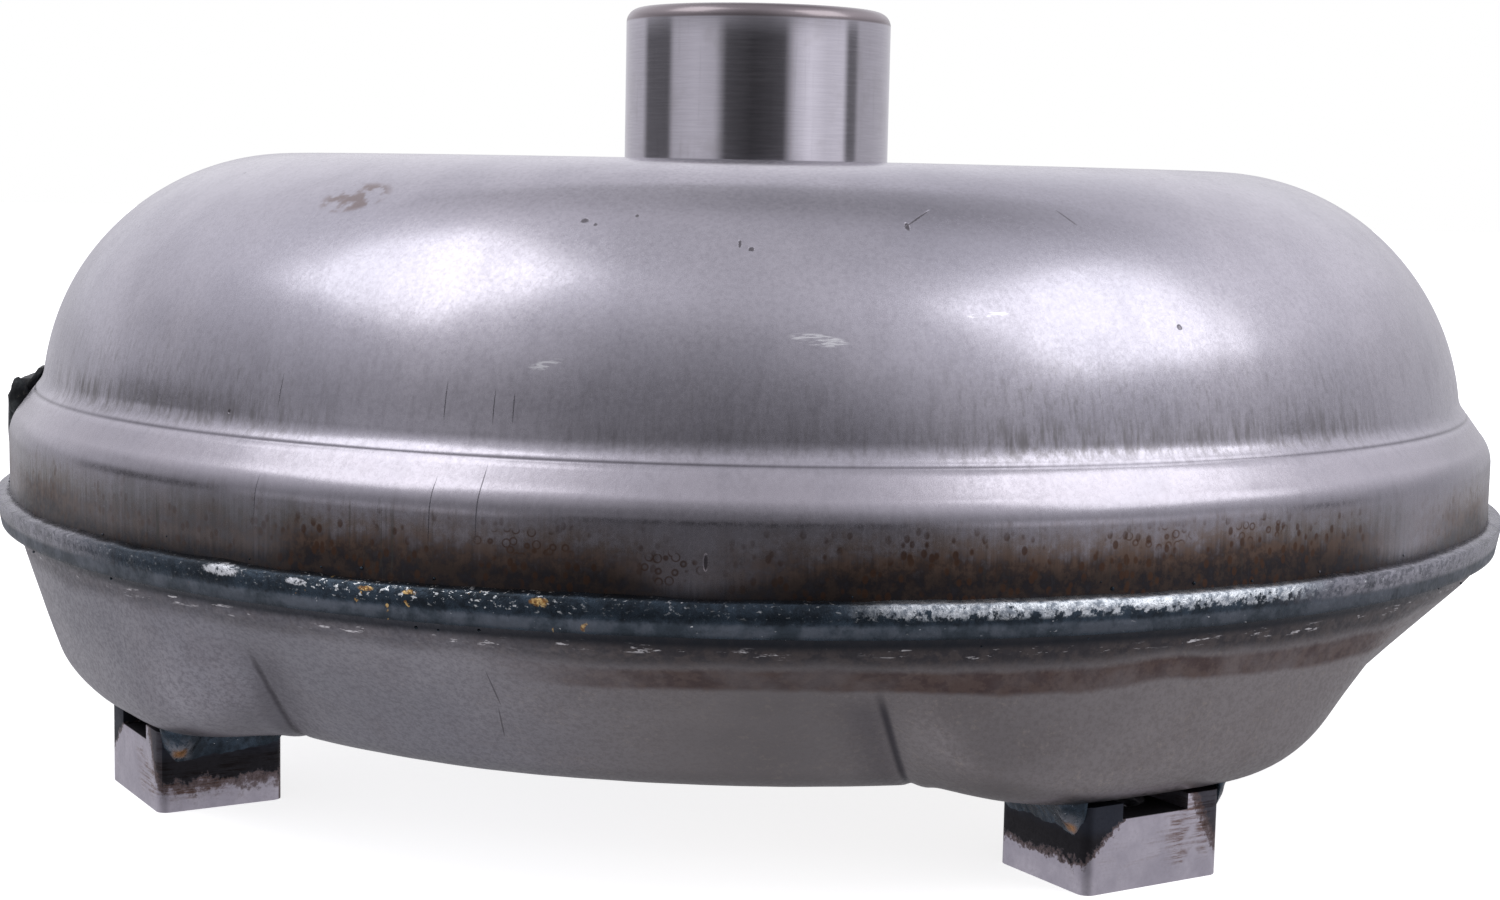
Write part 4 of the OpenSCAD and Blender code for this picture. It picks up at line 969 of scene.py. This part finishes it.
def lug_weld(number, side):
    """A fillet weld along one side of a lug, hollow faced, with round ends and a knob where it was stopped."""
    lumps = Lumps(30 + 2 * number + side)
    rows, columns = 90, 26
    length = LUG_LEN + 0.4
    s = np.linspace(0, 1, rows)[:, None]
    a = np.linspace(0, 1, columns)[None]
    taper = np.clip(np.sin(np.pi * np.clip(s, 0.001, 0.999)) * 2.6, 0, 1) ** 0.5
    probe = np.stack(np.broadcast_arrays(s * length + 50 * side, a * 6.0, 100.0 * number + 0 * s), -1)
    leg_out = 3.9 * taper * (1 + 0.10 * lumps(probe * (1, 0, 1), 8, 2))
    leg_down = 5.2 * taper * (1 + 0.12 * lumps(probe * (1, 0, 1) + 30, 8, 2))
    # the face runs from the cover down to the lug's side, with slight ripples across it
    ripple = 0.07 * np.sin(2 * np.pi * (s * length + 1.2 * np.cos(np.pi * a)) / 1.9) * np.sin(np.pi * a)
    knob = 1.5 * np.exp(-(((s - 0.86) / 0.11) ** 2)) * np.exp(-(((a - 0.55) / 0.30) ** 2))
    lift = (0.14 * lumps(probe, 3.2, 2) + ripple) * taper + knob
    out = leg_out * (1 - 0.25 * a - 0.75 * np.sin(np.pi * a / 2)) + lift * 0.7
    down = leg_down * (0.25 * a + 0.75 * (1 - np.cos(np.pi * a / 2))) + lift * 0.3
    x = LUG_R - 0.4 + (s - 0.5) * length + 0 * a
    reach = np.hypot(x, LUG_W / 2 + out)
    profile = full_profile()[::-1]
    above = np.interp(reach, profile[:, 0], profile[:, 1]) + 0.25
    face = np.stack([x, LUG_W / 2 - 0.15 + np.maximum(out, 0), above - np.maximum(down, 0) * (above + 5.2 - PAD_Z) / 5.2], -1)
    root = np.stack([x[:, :1], 0 * x[:, :1] + LUG_W / 2 - 0.3, above[:, :1] + 0.4], -1)
    points = np.concatenate([face, root], axis=1)
    width = columns + 1
    faces = grid_faces(rows, width, close_rows=False)
    faces += [list(range(width))[::-1], [(rows - 1) * width + k for k in range(width)]]
    points = points.reshape(-1, 3)
    if side:
        points = points * (1, -1, 1)
        faces = [face[::-1] for face in faces]
    piece = add_piece(f"lug_{number}_fillet_{side + 1}", to_lug(points, number), faces)
    return finish_piece(piece, WELD, "weld_metal", f"lug_welds_{number}")


# ---- balance weight --------------------------------------------------------------------------------


def balance_weight():
    """A small block bent over the shoulder, burnt and lumpy from its tack welds."""
    low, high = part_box("balance_weight")
    middle = math.atan2(low.y + high.y, low.x + high.x)
    half = math.radians(7)
    section = spaced(np.array([
        [130.4, 49.6], [131.1, 49.0], [131.8, 50.2], [132.0, 55.0], [131.9, 60.6], [131.0, 62.9], [129.5, 63.5],
        [127.9, 63.7], [126.6, 65.4], [125.2, 65.6], [126.0, 64.0], [128.6, 60.4], [129.9, 58.4], [130.4, 56.0], [130.4, 49.6],
    ]), 0.6)[:-1]
    rows, columns = 70, len(section)
    s = np.linspace(-1, 1, rows)[:, None]
    shrink = 1 - np.clip(np.abs(s) - 0.93, 0, 1) * 4
    centre = np.array([129.6, 60.0])
    r = centre[0] + (section[None, :, 0] - centre[0]) * shrink
    z = centre[1] + (section[None, :, 1] - centre[1]) * shrink
    points = turn(r, z, middle + half * s)
    lumps = Lumps(21)
    outward = turn(np.ones((1, 1)), np.full((1, 1), 0.4), middle + half * s)
    outer = np.clip((r - 126.5) / 4 + (z - 62) / 4, 0.15, 1)
    points = points + outward * (0.34 * outer * lumps(points, 3.4, 3))[..., None]
    faces = grid_faces(rows, columns, close_rows=False)
    faces += [list(range(columns))[::-1], [(rows - 1) * columns + k for k in range(columns)]]
    piece = add_piece("balance_weight_plate", points.reshape(-1, 3), faces)
    finish_piece(piece, BLACK, "blackened_steel", "balance_weight")
    turned = math.degrees(middle)

    def spot(degrees, r, z):
        a = middle + math.radians(degrees)
        return (r * math.cos(a), r * math.sin(a), z)

    tacks = blobs("balance_weight_tacks", [
        (spot(-7.7, 129.6, 60.4), (1.7, 1.3, 3.4), turned - 7.7), (spot(7.7, 129.6, 60.4), (1.7, 1.3, 3.4), turned + 7.7),
        (spot(-7.5, 130.6, 54.5), (0.9, 1.2, 2.6), turned - 7.5), (spot(7.5, 130.6, 54.5), (0.9, 1.2, 2.6), turned + 7.5),
    ], 22, rough=0.13)
    return finish_piece(tacks, BLACK, "weld_metal", "balance_weight_welds")


def weld_spatter():
    """Fine beads of metal thrown on the skirt and the cover beside the closure weld."""
    rng = np.random.default_rng(8)
    places = []
    for _ in range(60):
        azimuth, size = rng.uniform(0, 360), rng.uniform(0.12, 0.3)
        if rng.random() < 0.5:
            z = WELD_Z + 3.2 + rng.exponential(0.8)
            r = SKIRT_R
        else:
            z = WELD_Z - 2.8 - rng.exponential(0.6)
            r = np.interp(z, [38.6, 41.4], [128.8, 130.3])
        if z > 36:
            places.append((tuple(polar(azimuth, min(r, SKIRT_R), min(z, 55))), (size, size, size), 0))
    piece = blobs("weld_spatter", places, 9, rough=0.1)
    return finish_piece(piece, WELD, "weld_metal")


# ---- light, floor and camera -----------------------------------------------------------------------


def camera():
    """The photograph's viewpoint: eye level with the shell's crown, looking slightly down."""
    eye = polar(0, 435.5, 101) * MM
    pitch, roll, yaw = math.radians(6.5), math.radians(1.174), 0.0
    ahead = Vector((0, 0, 0)) - Vector((eye.x, eye.y, 0))
    ahead.normalize()
    right = ahead.cross(Vector((0, 0, 1)))
    forward = ahead * math.cos(pitch) - Vector((0, 0, 1)) * math.sin(pitch)
    up = ahead * math.sin(pitch) + Vector((0, 0, 1)) * math.cos(pitch)
    right, up = right * math.cos(roll) + up * math.sin(roll), up * math.cos(roll) - right * math.sin(roll)
    data = bpy.data.cameras.new("camera")
    data.lens, data.sensor_width, data.clip_start = 57.14, 36.0, 0.01
    holder = bpy.data.objects.new("camera", data)
    holder.matrix_world = Matrix.Translation(eye) @ Matrix((right, up, -forward)).transposed().to_4x4()
    bpy.context.scene.collection.objects.link(holder)
    bpy.context.scene.camera = holder


def soft_box(name, azimuth, elevation, width, height, power, distance=1.3):
    data = bpy.data.lights.new(name, "AREA")
    data.shape, data.size, data.size_y, data.energy = "RECTANGLE", width, height, power
    light = bpy.data.objects.new(name, data)
    e = math.radians(elevation)
    place = polar(azimuth, distance * math.cos(e), distance * math.sin(e))
    light.location = place + Vector((0, 0, 0.06))
    light.rotation_euler = place.to_track_quat("Z", "Y").to_euler()
    bpy.context.scene.collection.objects.link(light)


# The room's brightness in bands of height: the sines where a band is fully reached and where it ends, then stops of
# azimuth from the viewpoint in degrees with a level. The photographer's side is dark, a pale wall stands to each side
# of it with a dark gap behind, a white backdrop hangs behind the object, and the ceiling above that is darker.
ROUND = (-180, -150, -130, -110, -90, -70, -50, -30, -10, 10, 30, 50, 70, 90, 110, 130, 150, 180)
ROOM = (
    (-1.0, -0.60, ((-180, 0.25), (-90, 0.75), (-30, 0.42), (20, 0.42), (90, 0.60), (180, 0.25))),
    (-0.32, -0.09, (
        (-180, 0.4), (-120, 0.62), (-60, 0.26), (-20, 0.17), (20, 0.17), (55, 0.50), (75, 0.55), (120, 0.6), (180, 0.4),
    )),
    (-0.04, 0.07, (
        (-180, 0.75), (-117, 0.62), (-109.5, 0.16), (-83, 0.14), (-77, 0.58), (-55, 0.70), (-37, 0.62), (-27, 0.10),
        (-4, 0.05), (10, 0.07), (23, 0.10), (33, 0.75), (46, 1.05), (62, 0.85), (79, 0.90), (85, 0.18), (93, 0.20),
        (98, 0.55), (124, 0.60), (180, 0.75),
    )),
    (0.15, 0.20, zip(ROUND, (
        0.90, 0.95, 0.88, 0.70, 0.42, 0.42, 0.40, 0.34, 0.24, 0.24, 0.40, 0.52, 0.58, 0.62, 0.60, 0.66, 0.80, 0.90))),
    (0.32, 0.36, zip(ROUND, (
        1.00, 0.98, 0.84, 0.62, 0.58, 0.56, 0.42, 0.28, 0.24, 0.28, 0.52, 0.72, 0.75, 0.78, 0.84, 0.94, 1.00, 1.00))),
    (0.48, 0.52, zip(ROUND, (
        0.96, 1.00, 0.96, 0.86, 0.80, 0.75, 0.60, 0.38, 0.28, 0.36, 0.70, 0.88, 0.95, 1.00, 1.05, 1.06, 0.98, 0.96))),
    (0.62, 0.735, zip(ROUND, (
        0.86, 0.94, 1.00, 1.02, 0.95, 0.90, 0.80, 0.54, 0.40, 0.52, 0.85, 1.00, 1.00, 1.05, 1.12, 1.04, 0.88, 0.86))),
    (0.755, 0.80, zip(ROUND, (
        0.50, 0.70, 1.00, 1.05, 1.00, 1.00, 0.92, 0.66, 0.50, 0.58, 0.88, 1.00, 1.00, 1.05, 1.08, 0.84, 0.66, 0.50))),
    (0.85, 0.91, zip(ROUND, (
        0.44, 0.72, 1.04, 1.08, 1.05, 1.05, 1.00, 0.88, 0.68, 0.70, 0.90, 1.00, 1.00, 1.00, 0.98, 0.72, 0.50, 0.44))),
    (0.98, 1.0, ((-180, 0.70), (180, 0.70))),
)
ROOM_TINT = (0.985, 0.97, 1.03, 1)


def studio():
    soft_box("left_softbox", -78, 54, 0.72, 0.66, 1.95)
    soft_box("right_softbox", 69, 44, 0.8, 0.76, 2.65)
    world = bpy.data.worlds.new("studio")
    bpy.context.scene.world = world
    world.use_nodes = True
    tree = world.node_tree
    tree.nodes.clear()

    def node(kind, *values, **settings):
        made = tree.nodes.new(kind)
        for key, value in settings.items():
            setattr(made, key, value)
        for value, socket in zip(values, made.inputs):
            if isinstance(value, bpy.types.NodeSocket):
                tree.links.new(value, socket)
            elif value is not None:
                socket.default_value = value
        return made

    def blend(amount, below, above, **settings):
        made = node("ShaderNodeMix", amount, data_type="RGBA", **settings)
        for value, socket in ((below, made.inputs[6]), (above, made.inputs[7])):
            if isinstance(value, bpy.types.NodeSocket):
                tree.links.new(value, socket)
            else:
                socket.default_value = value
        return made.outputs[2]

    def levels(stops):
        made = node("ShaderNodeValToRGB", turned)
        elements, stops = made.color_ramp.elements, tuple(stops)
        while len(elements) < len(stops):
            elements.new(0.5)
        for element, (azimuth, level) in zip(elements, stops):
            element.position = azimuth / 360 + 0.5
            element.color = (level, level, level, 1)
        return made.outputs["Color"]

    direction = node("ShaderNodeTexCoord").outputs["Generated"]
    ahead = node("ShaderNodeVectorMath", direction, polar(0, 1, 0), operation="DOT_PRODUCT").outputs["Value"]
    right = node("ShaderNodeVectorMath", direction, polar(90, 1, 0), operation="DOT_PRODUCT").outputs["Value"]
    height = node("ShaderNodeVectorMath", direction, (0, 0, 1), operation="DOT_PRODUCT").outputs["Value"]
    azimuth = node("ShaderNodeMath", right, ahead, operation="ARCTAN2").outputs[0]
    turned = node("ShaderNodeMath", azimuth, 0.5 / math.pi, 0.5, operation="MULTIPLY_ADD").outputs[0]
    room, top = levels(ROOM[0][2]), ROOM[0][1]
    for start, end, stops in ROOM[1:]:
        room = blend(node("ShaderNodeMapRange", height, top, start).outputs[0], room, levels(stops))
        top = end
    room = blend(1.0, room, ROOM_TINT, blend_type="MULTIPLY")
    # the camera sees plain white paper behind the object
    seen = node("ShaderNodeLightPath").outputs["Is Camera Ray"]
    backdrop = node("ShaderNodeBackground", blend(seen, room, (1, 1, 1, 1)))
    output = node("ShaderNodeOutputWorld")
    tree.links.new(backdrop.outputs[0], output.inputs["Surface"])


def floor():
    bm = bmesh.new()
    bmesh.ops.create_circle(bm, cap_ends=True, segments=96, radius=6)
    mesh = bpy.data.meshes.new("floor")
    bm.to_mesh(mesh)
    bm.free()
    sheet = bpy.data.objects.new("floor", mesh)
    bpy.context.scene.collection.objects.link(sheet)
    f = Finish("floor_paint", metallic=0.0, Emission_Color=(1, 1, 1, 1), Emission_Strength=0.80)
    tone = f.noise(900, 2)
    sheet.data.materials.append(f.done(f.mix(tone, (0.88, 0.88, 0.885, 1), (0.90, 0.90, 0.90, 1)), 0.9))
    sheet.visible_glossy = sheet.visible_shadow = False


# ---- build -----------------------------------------------------------------------------------------

bpy.context.scene.view_settings.view_transform = "Standard"
camera()
studio()
floor()

for entry in frame["record"]["subparts"]:
    mesh = NODES[entry["node"]].data
    mesh.materials.clear()
    mesh.materials.append(SLOT_FINISH[entry["material_slot"]])

rear_shell()
pump_hub()
crank_pilot()
front_cover()
closure_weld()
hub_weld()
pilot_weld()
for lug in range(1, 5):
    mounting_lug(lug)
    lug_thread(lug)
    for face in (0, 1):
        lug_weld(lug, face)
balance_weight()
weld_spatter()
